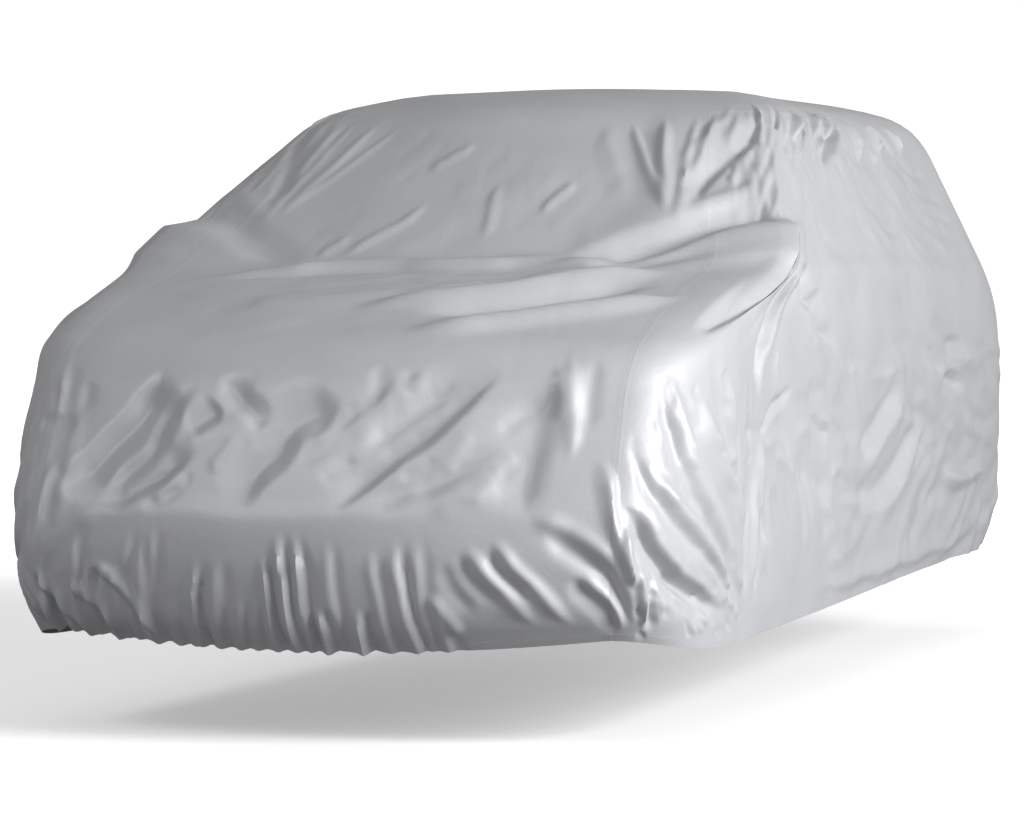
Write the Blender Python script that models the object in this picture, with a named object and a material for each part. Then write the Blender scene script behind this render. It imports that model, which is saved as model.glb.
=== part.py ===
"""Fitted car cover, hollow, hanging as it does in use: three sewn panels.

The top panel runs up the front, over the bonnet, screen and roof and down the back.
A side panel hangs from each of its long edges. Every panel is one thin sheet of coated
cloth. Metres, +Z up, the front of the cover faces -Y. The origin is on the inner face of
the cloth, under the middle of its roof, where the cover is carried.

Shape: nine rings stand one below the other, from a line along the roof to the hem. Each
ring is a rounded rectangle in plan. A place on the cloth is (around, down): `around` is
metres along the nose ring from the middle of the front, positive towards +X, and
`down` counts the rings. The cloth is taut between two rings and rounded over each of them.
Folds are soft ridges and troughs laid on that shape.
"""
import bpy
import numpy as np

# ---- driving dimensions, metres -------------------------------------------------------
CLOTH = 0.0025            # thickness of the coated cloth with its backing
SEAM_GAP = 0.0003         # between two panels along a seam
ORIGIN_STATION = 3.30     # origin behind the foremost point of the cover
ROOF_HEIGHT = 1.845       # top of the cloth above the ground
NUDGE = 1e-3              # step for slopes, in metres around and in rings down

# Metres around the nose ring: middle of the front, end of the front, start and end of the
# side, start of the back, middle of the back.
FRONT_MID, FRONT_END, SIDE_START, SIDE_END, BACK_START, BACK_MID = 0.0, 0.79, 1.32, 5.08, 5.45, 6.37
SEAM_FRONT = FRONT_END    # seam from the front corner of the hem up to the roof corner
SEAM_BACK = BACK_START    # seam from the back corner of the hem up to the roof corner
SEAM_RAIL = 1.9           # seam along the roof rail, in rings down

# Stations are metres behind the foremost point, heights are above the ground.
RING_COLUMNS = ("front", "back", "half_front", "half_side", "half_back", "corner_front", "corner_back",
                "bow_front", "bow_back", "z_front", "z_corner", "z_side_front", "z_side_back", "z_back",
                "rounding")
RINGS = {
    "spine":  (2.95, 3.85, 0.00, 0.000, 0.00, 0.00, 0.00, 0.00, 0.00, 1.845, 1.845, 1.845, 1.845, 1.845, 0.00),
    "crown":  (2.50, 4.24, 0.42, 0.540, 0.50, 0.22, 0.20, 0.06, 0.03, 1.828, 1.822, 1.824, 1.836, 1.822, 0.15),
    "roof":   (2.03, 4.54, 0.55, 0.750, 0.71, 0.34, 0.26, 0.10, 0.05, 1.752, 1.742, 1.750, 1.775, 1.750, 0.13),
    "belt":   (1.14, 4.86, 0.73, 0.950, 0.90, 0.36, 0.30, 0.12, 0.06, 1.270, 1.265, 1.255, 1.260, 1.240, 0.09),
    "bonnet": (0.58, 4.93, 0.76, 0.975, 0.91, 0.40, 0.32, 0.12, 0.06, 1.170, 1.155, 1.130, 1.130, 1.130, 0.20),
    "nose":   (0.22, 4.96, 0.78, 0.980, 0.92, 0.45, 0.35, 0.12, 0.06, 1.035, 1.030, 1.000, 0.980, 0.980, 0.12),
    "bumper": (0.00, 4.99, 0.79, 0.975, 0.93, 0.50, 0.40, 0.12, 0.06, 0.590, 0.590, 0.620, 0.600, 0.620, 0.20),
    "tuck":   (0.04, 4.95, 0.78, 0.960, 0.91, 0.50, 0.40, 0.12, 0.06, 0.350, 0.370, 0.370, 0.400, 0.420, 0.12),
    "hem":    (0.13, 4.86, 0.75, 0.940, 0.87, 0.50, 0.40, 0.12, 0.06, 0.248, 0.285, 0.240, 0.290, 0.310, 0.00),
}
CORNER_PULL = 0.62        # how square the rounded corners are, as a share of their length

# A pouch stands out on either side: metres around, height of the ledge along its top and
# how far it stands out there.
POUCH_COLUMNS = ("around", "top", "out")
POUCH = (
    (0.50, 1.290, 0.000),
    (0.72, 1.345, 0.045),
    (0.88, 1.375, 0.095),
    (0.99, 1.380, 0.130),
    (1.08, 1.380, 0.125),
    (1.24, 1.380, 0.045),
    (1.60, 1.375, 0.000),
)
POUCH_OUT = (0.80, -0.60)    # direction in plan that it stands out in
POUCH_DEPTH = 0.08           # height of its outer face
POUCH_LEDGE = 0.035          # height over which the cloth steps out
POUCH_STEP = 0.50            # share of the way out that is this step; the rest spans to the roof
POUCH_SKIRT = 0.36           # height over which it falls back below
POUCH_SPAN_POWER = 0.8       # how full the span above the ledge is
POUCH_SKIRT_POWER = 1.4      # how hollow that fall is

# Folds: two ends in (around, height), or (across, station) on the bonnet, how far the
# middle bows to the left of the way from the first end to the second, the height at each
# end, positive outwards, and the half width at each end.
FOLD_COLUMNS = ("a0", "b0", "a1", "b1", "bow", "height0", "height1", "width0", "width1")
FRONT_FOLDS = (
    (-0.45, 0.97, -0.66, 0.63, 0.02, -0.030, -0.026, 0.060, 0.055),    # long trough
    (-0.27, 0.95, -0.15, 0.82, 0.00, -0.020, -0.015, 0.050, 0.050),
    (-0.28, 0.78, -0.56, 0.64, 0.02, 0.012, 0.012, 0.040, 0.040),
    (0.08, 0.90, -0.10, 0.64, 0.02, -0.020, -0.024, 0.045, 0.050),
    (0.47, 0.98, 0.08, 0.62, 0.01, 0.018, 0.020, 0.045, 0.045),        # long ridge
    (0.37, 0.80, 0.16, 0.62, 0.00, 0.010, 0.012, 0.040, 0.040),
    (0.60, 0.94, 0.56, 0.64, 0.00, -0.018, -0.018, 0.045, 0.045),      # hollow beside the corner
    (0.64, 1.02, 0.68, 0.76, 0.00, 0.014, 0.008, 0.045, 0.040),
    (-0.72, 0.61, 0.52, 0.61, 0.00, 0.008, 0.008, 0.050, 0.050),       # ledge across the lower front
)
CORNER_FOLDS = (
    (0.60, 0.58, 0.87, 0.33, 0.03, -0.022, -0.016, 0.045, 0.040),      # pouch at the front corner
    (0.62, 0.64, 0.90, 0.40, 0.03, 0.020, 0.012, 0.050, 0.045),
    (0.83, 0.64, 1.33, 0.34, 0.02, -0.026, -0.014, 0.050, 0.040),
    (0.90, 0.98, 1.50, 0.34, 0.04, -0.012, -0.014, 0.055, 0.040),      # fan drawn to the hem gather
    (1.08, 0.95, 1.58, 0.43, 0.03, 0.014, 0.014, 0.060, 0.045),
)
SIDE_FOLDS = (
    (1.16, 1.25, 0.94, 1.12, 0.00, -0.016, -0.012, 0.055, 0.060),      # folds that fall from the pouch
    (1.24, 1.25, 1.55, 0.94, 0.00, -0.010, -0.008, 0.050, 0.060),
    (1.34, 1.27, 2.52, 1.00, 0.02, -0.020, -0.012, 0.050, 0.070),
    (3.45, 0.93, 2.95, 0.72, -0.05, -0.012, -0.010, 0.100, 0.100),     # slack drapes
    (3.80, 0.82, 3.30, 0.58, -0.04, -0.012, -0.014, 0.100, 0.100),
    (3.35, 0.57, 2.75, 0.64, -0.02, -0.012, -0.008, 0.090, 0.090),
    (4.25, 0.575, 5.00, 0.58, 0.00, 0.014, 0.014, 0.060, 0.060),
)
RAIL_FOLDS = (
    (0.70, 1.40, 0.64, 1.72, 0.00, 0.006, 0.014, 0.035, 0.050),        # fan from the screen's lower corner
    (0.72, 1.40, 0.83, 1.73, 0.00, 0.006, 0.016, 0.035, 0.050),
    (0.72, 1.41, 1.02, 1.74, -0.02, -0.010, -0.022, 0.035, 0.050),
    (1.40, 1.64, 1.70, 1.75, 0.00, -0.010, -0.016, 0.070, 0.080),      # puckers under the rail seam
    (1.95, 1.62, 2.60, 1.74, 0.00, -0.012, -0.016, 0.080, 0.090),
    (3.00, 1.62, 2.95, 1.74, 0.00, 0.006, 0.012, 0.100, 0.110),
)
BONNET_FOLDS = (
    (-0.60, 1.06, 0.60, 1.24, -0.03, 0.008, 0.014, 0.060, 0.060),      # across the foot of the screen
    (0.05, 0.57, 0.62, 1.00, -0.02, 0.008, 0.020, 0.050, 0.060),       # drawn towards the pouch
    (0.25, 0.42, 0.70, 0.68, -0.02, 0.008, 0.016, 0.050, 0.055),
)
FOLD_FADE = 0.12          # share of a fold's length over which each end dies away
WALL_FOLDS_FROM = (1.2, 1.7)       # rings down between which the hanging folds come in
BONNET_FOLDS_FROM = (2.8, 3.0)     # rings down between which the bonnet's folds come in
BONNET_FOLDS_TO = (4.7, 5.0)       # rings down between which they die away

GATHER_TOP = 0.52         # height where the gathers of the elastic hem begin
GATHER_FULL = 0.25        # height where they are full
GATHER_PITCH = 0.21       # metres around for one gather
GATHER_HEIGHT = 0.009     # half height of a gather at the hem
GATHER_FRONT = (1.3, 1.7)      # metres around between which they die away behind the front corner
GATHER_BACK = (4.9, 5.3)       # metres around between which they come in before the back corner
GATHER_DRIFT = 0.8             # how far the gathers shift, in radians, to be uneven
GATHER_DRIFT_RATE = 3.1        # radians of that shift's own wave to a metre around

RIM_ORDER = np.array([0.2, 1.0, -0.7])    # the way along which the ends of a rim edge are ordered

# Faces: runs of (from, to, number of faces).
FRONT_RUNS = ((FRONT_MID, FRONT_END, 12),)
SIDE_RUNS = ((FRONT_END, 1.06, 5), (1.06, SIDE_START, 4), (SIDE_START, 1.60, 4), (1.60, 2.60, 8),
             (2.60, SIDE_END, 11), (SIDE_END, BACK_START, 5))
BACK_RUNS = ((BACK_START, BACK_MID, 7),)
CAP_RUNS = ((0.0, 1.0, 2), (1.0, SEAM_RAIL, 3))
WALL_RUNS = ((SEAM_RAIL, 2.25, 3), (2.25, 2.70, 3), (2.70, 2.95, 3), (2.95, 3.25, 2), (3.25, 4.0, 2),
             (4.0, 5.0, 4), (5.0, 6.0, 6), (6.0, 7.0, 4), (7.0, 8.0, 3))

SILVER = (0.52, 0.52, 0.53, 1.0)      # linear colour of the silver coating
CLOTH_ROUGHNESS = 0.42
CLOTH_METALLIC = 0.55


# ---- the shape ------------------------------------------------------------------------
def ease(share):
    """Smooth step from 0 to 1."""
    share = np.clip(share, 0.0, 1.0)
    return share * share * (3.0 - 2.0 * share)


def rise(value, between):
    """Smooth step from 0 at the first of two values to 1 at the second."""
    start, end = between
    return ease((value - start) / (end - start))


def bezier(p0, p1, p2, p3, t):
    """Cubic Bezier curve in one coordinate."""
    return (1 - t) ** 3 * p0 + 3 * t * (1 - t) ** 2 * p1 + 3 * t * t * (1 - t) * p2 + t ** 3 * p3


def ring_points(row, around):
    """Points on one ring: half widths and corners in plan, heights eased round the corners."""
    r = dict(zip(RING_COLUMNS, row))
    reach = np.abs(around)
    front = np.clip(reach / FRONT_END, 0, 1)
    turn = np.clip((reach - FRONT_END) / (SIDE_START - FRONT_END), 0, 1)
    along = np.clip((reach - SIDE_START) / (SIDE_END - SIDE_START), 0, 1)
    turn_back = np.clip((reach - SIDE_END) / (BACK_START - SIDE_END), 0, 1)
    back = np.clip((BACK_MID - reach) / (BACK_MID - BACK_START), 0, 1)

    half_front, half_side, half_back = r["half_front"], r["half_side"], r["half_back"]
    flare_front, flare_back = half_side - half_front, half_side - half_back
    y1 = r["front"] + r["bow_front"]
    y2 = y1 + r["corner_front"]
    y4 = r["back"] - r["bow_back"]
    y3 = y4 - r["corner_back"]
    rise_front = CORNER_PULL * flare_front * 2 * r["bow_front"] / max(half_front, NUDGE)
    rise_back = CORNER_PULL * flare_back * 2 * r["bow_back"] / max(half_back, NUDGE)

    zones = [reach <= FRONT_END, reach <= SIDE_START, reach <= SIDE_END, reach <= BACK_START]
    x = np.select(zones, [
        half_front * front,
        bezier(half_front, half_front + CORNER_PULL * flare_front, half_side, half_side, turn),
        half_side + 0 * reach,
        bezier(half_side, half_side, half_back + CORNER_PULL * flare_back, half_back, turn_back),
    ], half_back * back)
    y = np.select(zones, [
        r["front"] + r["bow_front"] * front ** 2,
        bezier(y1, y1 + rise_front, y2 - CORNER_PULL * r["corner_front"], y2, turn),
        y2 + (y3 - y2) * along,
        bezier(y3, y3 + CORNER_PULL * r["corner_back"], y4 - rise_back, y4, turn_back),
    ], r["back"] - r["bow_back"] * back ** 2)
    z = np.select(zones, [
        r["z_front"] + (r["z_corner"] - r["z_front"]) * front ** 2,
        r["z_corner"] + (r["z_side_front"] - r["z_corner"]) * ease(turn),
        r["z_side_front"] + (r["z_side_back"] - r["z_side_front"]) * ease(along),
        r["z_side_back"] + (r["z_back"] - r["z_side_back"]) * ease(turn_back),
    ], r["z_back"] + 0 * reach)
    return np.stack([x * np.where(around < 0, -1.0, 1.0), y, z], axis=-1)


def taut_points(around, down):
    """The smooth form: straight between the rings, rounded over each of them."""
    rings = np.stack([ring_points(row, around) for row in RINGS.values()])
    rounding = np.array([row[-1] for row in RINGS.values()])
    last = len(RINGS) - 1

    def pick(index):
        index = np.clip(index, 0, last)[None, ..., None]
        return np.take_along_axis(rings, np.broadcast_to(index, (1,) + around.shape + (3,)), axis=0)[0]

    above = np.clip(np.floor(down).astype(int), 0, last - 1)
    share = down - above
    top, low = pick(above), pick(above + 1)
    points = top + (low - top) * share[..., None]
    for middle in (above, above + 1):
        before, here, after = pick(middle - 1), pick(middle), pick(middle + 1)
        up_length = np.linalg.norm(here - before, axis=-1) + 1e-9
        low_length = np.linalg.norm(after - here, axis=-1) + 1e-9
        up = np.minimum(rounding[middle] / up_length, 0.5)
        lower = np.minimum(rounding[middle] / low_length, 0.5)
        place = down - middle
        inside = (middle > 0) & (middle < last) & (place > -up) & (place < lower)
        t = np.clip((place + up) / np.maximum(up + lower, 1e-9), 0, 1)[..., None]
        start = here - (here - before) * up[..., None]
        end = here + (after - here) * lower[..., None]
        curve = (1 - t) ** 2 * start + 2 * t * (1 - t) * here + t * t * end
        points = np.where(inside[..., None], curve, points)
    return points


def outward(surface, around, down):
    """Unit normals of a surface function, pointing out of the cover, and its two slopes."""
    du = surface(around + NUDGE, down) - surface(around - NUDGE, down)
    dv = surface(around, down + NUDGE) - surface(around, down - NUDGE)
    normal = np.cross(dv, du)
    normal /= np.linalg.norm(normal, axis=-1, keepdims=True) + 1e-12
    normal[down < 2 * NUDGE] = (0.0, 0.0, 1.0)
    return normal, du, dv


def fold_heights(folds, a, b):
    """Sum of the folds of one table at the places (a, b)."""
    total = np.zeros_like(a)
    for row in folds:
        f = dict(zip(FOLD_COLUMNS, row))
        run = np.array([f["a1"] - f["a0"], f["b1"] - f["b0"]])
        length = np.linalg.norm(run)
        run /= length
        t = ((a - f["a0"]) * run[0] + (b - f["b0"]) * run[1]) / length
        inside = np.clip(t, 0, 1)
        off = (b - f["b0"]) * run[0] - (a - f["a0"]) * run[1] - 4 * f["bow"] * inside * (1 - inside)
        width = f["width0"] + (f["width1"] - f["width0"]) * inside
        height = f["height0"] + (f["height1"] - f["height0"]) * inside
        fade = ease((t + FOLD_FADE) / (2 * FOLD_FADE)) * ease((1 + FOLD_FADE - t) / (2 * FOLD_FADE))
        total += height * fade * np.exp(-(off / width) ** 2)
    return total


def pouch_push(around, z):
    """How far the cloth stands out at the pouches."""
    reach = np.abs(around)
    pouch = dict(zip(POUCH_COLUMNS, zip(*POUCH)))
    top = np.interp(reach, pouch["around"], pouch["top"])
    out = np.interp(reach, pouch["around"], pouch["out"], left=0.0, right=0.0)
    step = ease((top + POUCH_LEDGE - z) / POUCH_LEDGE)
    roof = RINGS["roof"][RING_COLUMNS.index("z_corner")]
    span = np.clip((roof - z) / (roof - top), 0, 1) ** POUCH_SPAN_POWER
    over = POUCH_STEP * step + (1 - POUCH_STEP) * span
    under = np.clip((z - (top - POUCH_DEPTH - POUCH_SKIRT)) / POUCH_SKIRT, 0, 1)
    return out * over * under ** POUCH_SKIRT_POWER


def cloth_points(around, down):
    """Outer face of the cloth with its pouches, folds and gathers."""
    points = taut_points(around, down)
    normal, _, _ = outward(taut_points, around, down)
    z = points[..., 2]
    reach = np.abs(around)
    on_wall = rise(down, WALL_FOLDS_FROM)
    height = fold_heights(FRONT_FOLDS, around, z) + fold_heights(CORNER_FOLDS, reach, z)
    height += fold_heights(SIDE_FOLDS, reach, z) + fold_heights(RAIL_FOLDS, reach, z)
    on_bonnet = rise(down, BONNET_FOLDS_FROM) * (1 - rise(down, BONNET_FOLDS_TO))
    on_bonnet *= 1 - rise(reach, (FRONT_END, SIDE_START))
    height *= on_wall
    height += on_bonnet * fold_heights(BONNET_FOLDS, points[..., 0], points[..., 1])
    at_hem = 1 - rise(z, (GATHER_FULL, GATHER_TOP))
    at_ends = np.maximum(1 - rise(reach, GATHER_FRONT), rise(reach, GATHER_BACK))
    run = np.where(reach > SIDE_END / 2, BACK_MID - reach, around)
    wave = np.cos(2 * np.pi * run / GATHER_PITCH + GATHER_DRIFT * np.sin(GATHER_DRIFT_RATE * run))
    height += GATHER_HEIGHT * at_hem * at_ends * wave
    points = points + normal * height[..., None]
    push = pouch_push(around, z) * on_wall
    points[..., 0] += push * POUCH_OUT[0] * np.sign(around)
    points[..., 1] += push * POUCH_OUT[1]
    return points


def spread(runs):
    """Stations along a list of (from, to, number of faces) runs."""
    stations = [runs[0][0]]
    for start, end, count in runs:
        stations += list(np.linspace(start, end, count + 1)[1:])
    return np.array(stations)


# ---- panels ---------------------------------------------------------------------------
def place_sheet(around, down, seam_around, seam_down):
    """Outer and inner points of a panel, drawn back by half a gap from its seams.

    seam_around and seam_down are -1, 0 or 1: the way, along each slope, that the panel
    keeps away from a seam at that point.
    """
    outer = cloth_points(around, down)
    normal, du, dv = outward(cloth_points, around, down)
    for slope, side in ((du, seam_around), (dv, seam_down)):
        unit = slope / (np.linalg.norm(slope, axis=-1, keepdims=True) + 1e-12)
        outer = outer + unit * (0.5 * SEAM_GAP * side)[..., None]
    inner = outer - normal * CLOTH
    origin = np.array([0.0, ORIGIN_STATION, ROOF_HEIGHT - CLOTH])
    return outer - origin, inner - origin


def sheet_object(name, outer, inner, quads, material):
    """One closed thin solid from matching outer and inner points and the quads they share."""
    keys = {}
    number = np.empty(len(outer), dtype=int)
    kept = []
    for i, point in enumerate(np.round(outer, 6)):
        key = tuple(point)
        if key not in keys:
            keys[key] = len(kept)
            kept.append(i)
        number[i] = keys[key]
    count = len(kept)
    triangles = []      # each quad is cut along its shorter diagonal
    for quad in quads:
        a, b, c, d = (number[i] for i in quad)
        first = np.linalg.norm(outer[kept[a]] - outer[kept[c]])
        second = np.linalg.norm(outer[kept[b]] - outer[kept[d]])
        pair = ((a, b, c), (a, c, d)) if first <= second else ((a, b, d), (b, c, d))
        triangles += [t for t in pair if len(set(t)) == 3]
    edges = {}
    for a, b, c in triangles:
        for edge in ((a, b), (b, c), (c, a)):
            edges[edge] = True
    faces = list(triangles) + [(c + count, b + count, a + count) for a, b, c in triangles]
    for a, b in edges:
        if (b, a) in edges:
            continue
        # Both panels along a seam split their twisted rim faces along the same diagonal.
        if outer[kept[a]] @ RIM_ORDER < outer[kept[b]] @ RIM_ORDER:
            faces += [(b, a, b + count), (a, a + count, b + count)]
        else:
            faces += [(b, a, a + count), (b, a + count, b + count)]
    mesh = bpy.data.meshes.new(name)
    points = np.concatenate([outer[kept], inner[kept]])
    mesh.from_pydata([tuple(p) for p in points], [], [tuple(int(i) for i in f) for f in faces])
    mesh.validate()
    mesh.shade_smooth()
    mesh.materials.append(material)
    obj = bpy.data.objects.new(name, mesh)
    bpy.context.scene.collection.objects.link(obj)
    return obj


def grid_quads(rows, columns):
    """Quads of a grid whose points run row by row."""
    quads = []
    for i in range(rows - 1):
        for j in range(columns - 1):
            a = i * columns + j
            quads.append((a, a + 1, a + columns + 1, a + columns))
    return quads


def side_panel(name, hand, material):
    """Side panel between the two corner seams, below the rail seam. hand is 1 or -1."""
    around = spread(SIDE_RUNS)
    down = spread(WALL_RUNS)
    grid_down, grid_around = np.meshgrid(down, around, indexing="ij")
    seam_around = (grid_around == around[0]) * 1.0 - (grid_around == around[-1]) * 1.0
    seam_down = (grid_down == down[0]) * 1.0
    if hand < 0:
        grid_around, seam_around = -grid_around[:, ::-1], -seam_around[:, ::-1]
        grid_down, seam_down = grid_down[:, ::-1], seam_down[:, ::-1]
    outer, inner = place_sheet(grid_around, grid_down, seam_around, seam_down)
    quads = [quad[::-1] for quad in grid_quads(len(down), len(around))]
    return sheet_object(name, outer.reshape(-1, 3), inner.reshape(-1, 3), quads, material)


def top_panel(name, material):
    """Front, bonnet, screen, roof and back in one piece: a cap with two hanging ends."""
    front, side, back = spread(FRONT_RUNS), spread(SIDE_RUNS), spread(BACK_RUNS)
    half = np.concatenate([front, side[1:], back[1:]])
    around = np.concatenate([-half[:0:-1], half])
    cap, wall = spread(CAP_RUNS), spread(WALL_RUNS)
    down = np.concatenate([cap, wall[1:]])
    grid_down, grid_around = np.meshgrid(down, around, indexing="ij")
    reach = np.abs(grid_around)
    sign = np.where(grid_around < 0, -1.0, 1.0)
    below = grid_down >= SEAM_RAIL
    seam_around = (below & (reach == SEAM_BACK)) * sign - (below & (reach == SEAM_FRONT)) * sign
    over_side = (reach >= SEAM_FRONT) & (reach <= SEAM_BACK)
    seam_down = -1.0 * ((grid_down == SEAM_RAIL) & over_side)
    outer, inner = place_sheet(grid_around, grid_down, seam_around, seam_down)
    rows, columns = grid_down.shape
    quads = []
    for quad in grid_quads(rows, columns):
        i, j = divmod(quad[0], columns)
        middle = abs(0.5 * (around[j] + around[j + 1]))
        if down[i] >= SEAM_RAIL and SEAM_FRONT < middle < SEAM_BACK:
            continue
        quads.append(quad[::-1])
    used = sorted({i for quad in quads for i in quad})
    new = {old: i for i, old in enumerate(used)}
    quads = [tuple(new[i] for i in quad) for quad in quads]
    return sheet_object(name, outer.reshape(-1, 3)[used], inner.reshape(-1, 3)[used], quads, material)


def silver_cloth(name):
    """Silver-coated polyester, a little metallic."""
    material = bpy.data.materials.new(name)
    material.use_nodes = True
    shader = material.node_tree.nodes["Principled BSDF"]
    shader.inputs["Base Color"].default_value = SILVER
    shader.inputs["Roughness"].default_value = CLOTH_ROUGHNESS
    shader.inputs["Metallic"].default_value = CLOTH_METALLIC
    material.diffuse_color = SILVER
    return material


def main():
    """Remove the start-up objects and build the three panels."""
    for obj in list(bpy.data.objects):
        bpy.data.objects.remove(obj, do_unlink=True)
    top_panel("top_panel", silver_cloth("silver_top"))
    side_panel("side_panel_left", 1, silver_cloth("silver_left"))
    side_panel("side_panel_right", -1, silver_cloth("silver_right"))


main()
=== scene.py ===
"""Photo scene of a fitted car cover: silver coated cloth, hanging as it does in use.

The cover is three sewn panels. The top panel runs up the front, over the bonnet, screen
and roof and down the back, and a side panel hangs on either hand. Each is one thin sheet
on the shape that its solid has, with the finer folds laid on, a felled seam where
two panels meet and a stitched elastic hem. Metres, +Z up, the front faces -Y.

A place on the cloth is (around, down): `around` is metres along the nose ring from the
middle of the front, positive on the left hand, and `down` counts the rings from the line
along the roof. Folds are placed by (around, height above the ground).
"""

import logging
import math
from dataclasses import dataclass
from enum import Enum

import bmesh
import bpy
import numpy as np
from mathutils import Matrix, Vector


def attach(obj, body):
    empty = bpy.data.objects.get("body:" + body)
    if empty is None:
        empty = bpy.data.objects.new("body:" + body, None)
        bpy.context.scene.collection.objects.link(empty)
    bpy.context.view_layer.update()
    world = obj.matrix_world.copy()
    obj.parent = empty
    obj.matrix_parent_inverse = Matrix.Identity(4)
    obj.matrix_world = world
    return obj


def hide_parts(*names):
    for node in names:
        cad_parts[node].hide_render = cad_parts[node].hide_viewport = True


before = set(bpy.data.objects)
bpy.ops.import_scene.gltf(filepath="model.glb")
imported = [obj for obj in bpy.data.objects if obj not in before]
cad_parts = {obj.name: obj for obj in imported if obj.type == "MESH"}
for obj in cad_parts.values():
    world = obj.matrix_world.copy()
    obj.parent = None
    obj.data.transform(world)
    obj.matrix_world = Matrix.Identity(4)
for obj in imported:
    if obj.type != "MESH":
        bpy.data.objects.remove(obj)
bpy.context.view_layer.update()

LOG = logging.getLogger("car_cover")
BODY = "root"

# ---- sizes shared by the panels, metres ------------------------------------------------
ORIGIN_STATION = 3.30     # origin behind the foremost point of the cover
GROUND = -1.8425          # ground below the origin
CLOTH = 0.0025            # coated cloth with its soft backing
SEAM_GAP = 0.0001         # between two panels along a seam
NUDGE = 1e-3              # step for slopes, in metres around and in rings down
TINY = 1e-12              # keeps a division from failing where a length is nothing
MM = 1000                 # millimetres in a metre

FRONT_END, SIDE_START, SIDE_END, BACK_START, BACK_MID = 0.79, 1.32, 5.08, 5.45, 6.37
SEAM_FRONT = FRONT_END
SEAM_BACK = BACK_START
SEAM_RAIL = 1.9
HEM_DOWN = 8.0


class Hand(Enum):
    """The two sides of the cover, as the sign of X."""

    LEFT = 1
    RIGHT = -1


class Zone(Enum):
    """Which part of the cloth a fold lies on, and so how its places are read."""

    FRONT = "signed metres around, height"
    SIDES = "metres around on both hands, height"
    LEFT = "metres around, height; full on the left hand, faint on the right"
    BONNET = "metres across, metres behind the front"


# ---- small helpers ---------------------------------------------------------------------
def ease(share: np.ndarray) -> np.ndarray:
    """Smooth step from 0 to 1."""
    share = np.clip(share, 0.0, 1.0)
    return share * share * (3.0 - 2.0 * share)


def rise(value: np.ndarray, start: float, end: float) -> np.ndarray:
    """Smooth step from 0 at start to 1 at end."""
    return ease((value - start) / (end - start))


def bezier(p0: float, p1: float, p2: float, p3: float, t: np.ndarray) -> np.ndarray:
    """Cubic Bezier curve in one coordinate."""
    return (1 - t) ** 3 * p0 + 3 * t * (1 - t) ** 2 * p1 + 3 * t * t * (1 - t) * p2 + t ** 3 * p3


def spread(runs: tuple[tuple[float, float, int], ...]) -> np.ndarray:
    """Stations along a list of runs.

    Args:
        runs: from, to and number of faces of each run.

    Returns:
        The stations in order.
    """
    stations = [runs[0][0]]
    for start, end, count in runs:
        stations += list(np.linspace(start, end, count + 1)[1:])
    return np.array(stations)


def metres(lengths: tuple[float, ...]) -> tuple[float, ...]:
    """Turn millimetres into metres."""
    return tuple(length / MM for length in lengths)


def linear(hex_colour: str) -> tuple[float, float, float, float]:
    """Turn an sRGB hex colour into Blender's linear colour.

    Args:
        hex_colour: six hex digits after a #.

    Returns:
        Linear red, green, blue and full alpha.
    """
    channels = []
    for i in (1, 3, 5):
        value = int(hex_colour[i:i + 2], 16) / 255
        channels.append(value / 12.92 if value <= 0.04045 else ((value + 0.055) / 1.055) ** 2.4)
    return (*channels, 1.0)


# ---- the shape of the cloth ------------------------------------------------------------
@dataclass(frozen=True)
class Ring:
    """One level line round the cover: a rounded rectangle in plan.

    Stations are metres behind the foremost point and heights are above the ground.
    `rounding` is how much of the cloth either side is rounded over the ring.
    """

    front: float
    back: float
    half_front: float
    half_side: float
    half_back: float
    corner_front: float
    corner_back: float
    bow_front: float
    bow_back: float
    z_front: float
    z_corner: float
    z_side_front: float
    z_side_back: float
    z_back: float
    rounding: float

    def points(self, around: np.ndarray) -> np.ndarray:
        """Points of the ring.

        Args:
            around: metres around, signed by the hand.

        Returns:
            Array of points, last axis x, station, height.
        """
        pull = CORNER_PULL
        reach = np.abs(around)
        front = np.clip(reach / FRONT_END, 0, 1)
        turn = np.clip((reach - FRONT_END) / (SIDE_START - FRONT_END), 0, 1)
        along = np.clip((reach - SIDE_START) / (SIDE_END - SIDE_START), 0, 1)
        turn_back = np.clip((reach - SIDE_END) / (BACK_START - SIDE_END), 0, 1)
        back = np.clip((BACK_MID - reach) / (BACK_MID - BACK_START), 0, 1)
        flare_front, flare_back = self.half_side - self.half_front, self.half_side - self.half_back
        y1 = self.front + self.bow_front
        y2 = y1 + self.corner_front
        y4 = self.back - self.bow_back
        y3 = y4 - self.corner_back
        rise_front = pull * flare_front * 2 * self.bow_front / max(self.half_front, NUDGE)
        rise_back = pull * flare_back * 2 * self.bow_back / max(self.half_back, NUDGE)
        zones = [reach <= FRONT_END, reach <= SIDE_START, reach <= SIDE_END, reach <= BACK_START]
        side = self.half_side
        x = np.select(zones, [
            self.half_front * front,
            bezier(self.half_front, self.half_front + pull * flare_front, side, side, turn),
            side + 0 * reach,
            bezier(side, side, self.half_back + pull * flare_back, self.half_back, turn_back),
        ], self.half_back * back)
        y = np.select(zones, [
            self.front + self.bow_front * front ** 2,
            bezier(y1, y1 + rise_front, y2 - pull * self.corner_front, y2, turn),
            y2 + (y3 - y2) * along,
            bezier(y3, y3 + pull * self.corner_back, y4 - rise_back, y4, turn_back),
        ], self.back - self.bow_back * back ** 2)
        z = np.select(zones, [
            self.z_front + (self.z_corner - self.z_front) * front ** 2,
            self.z_corner + (self.z_side_front - self.z_corner) * ease(turn),
            self.z_side_front + (self.z_side_back - self.z_side_front) * ease(along),
            self.z_side_back + (self.z_back - self.z_side_back) * ease(turn_back),
        ], self.z_back + 0 * reach)
        return np.stack([x * np.where(around < 0, -1.0, 1.0), y, z], axis=-1)


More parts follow.
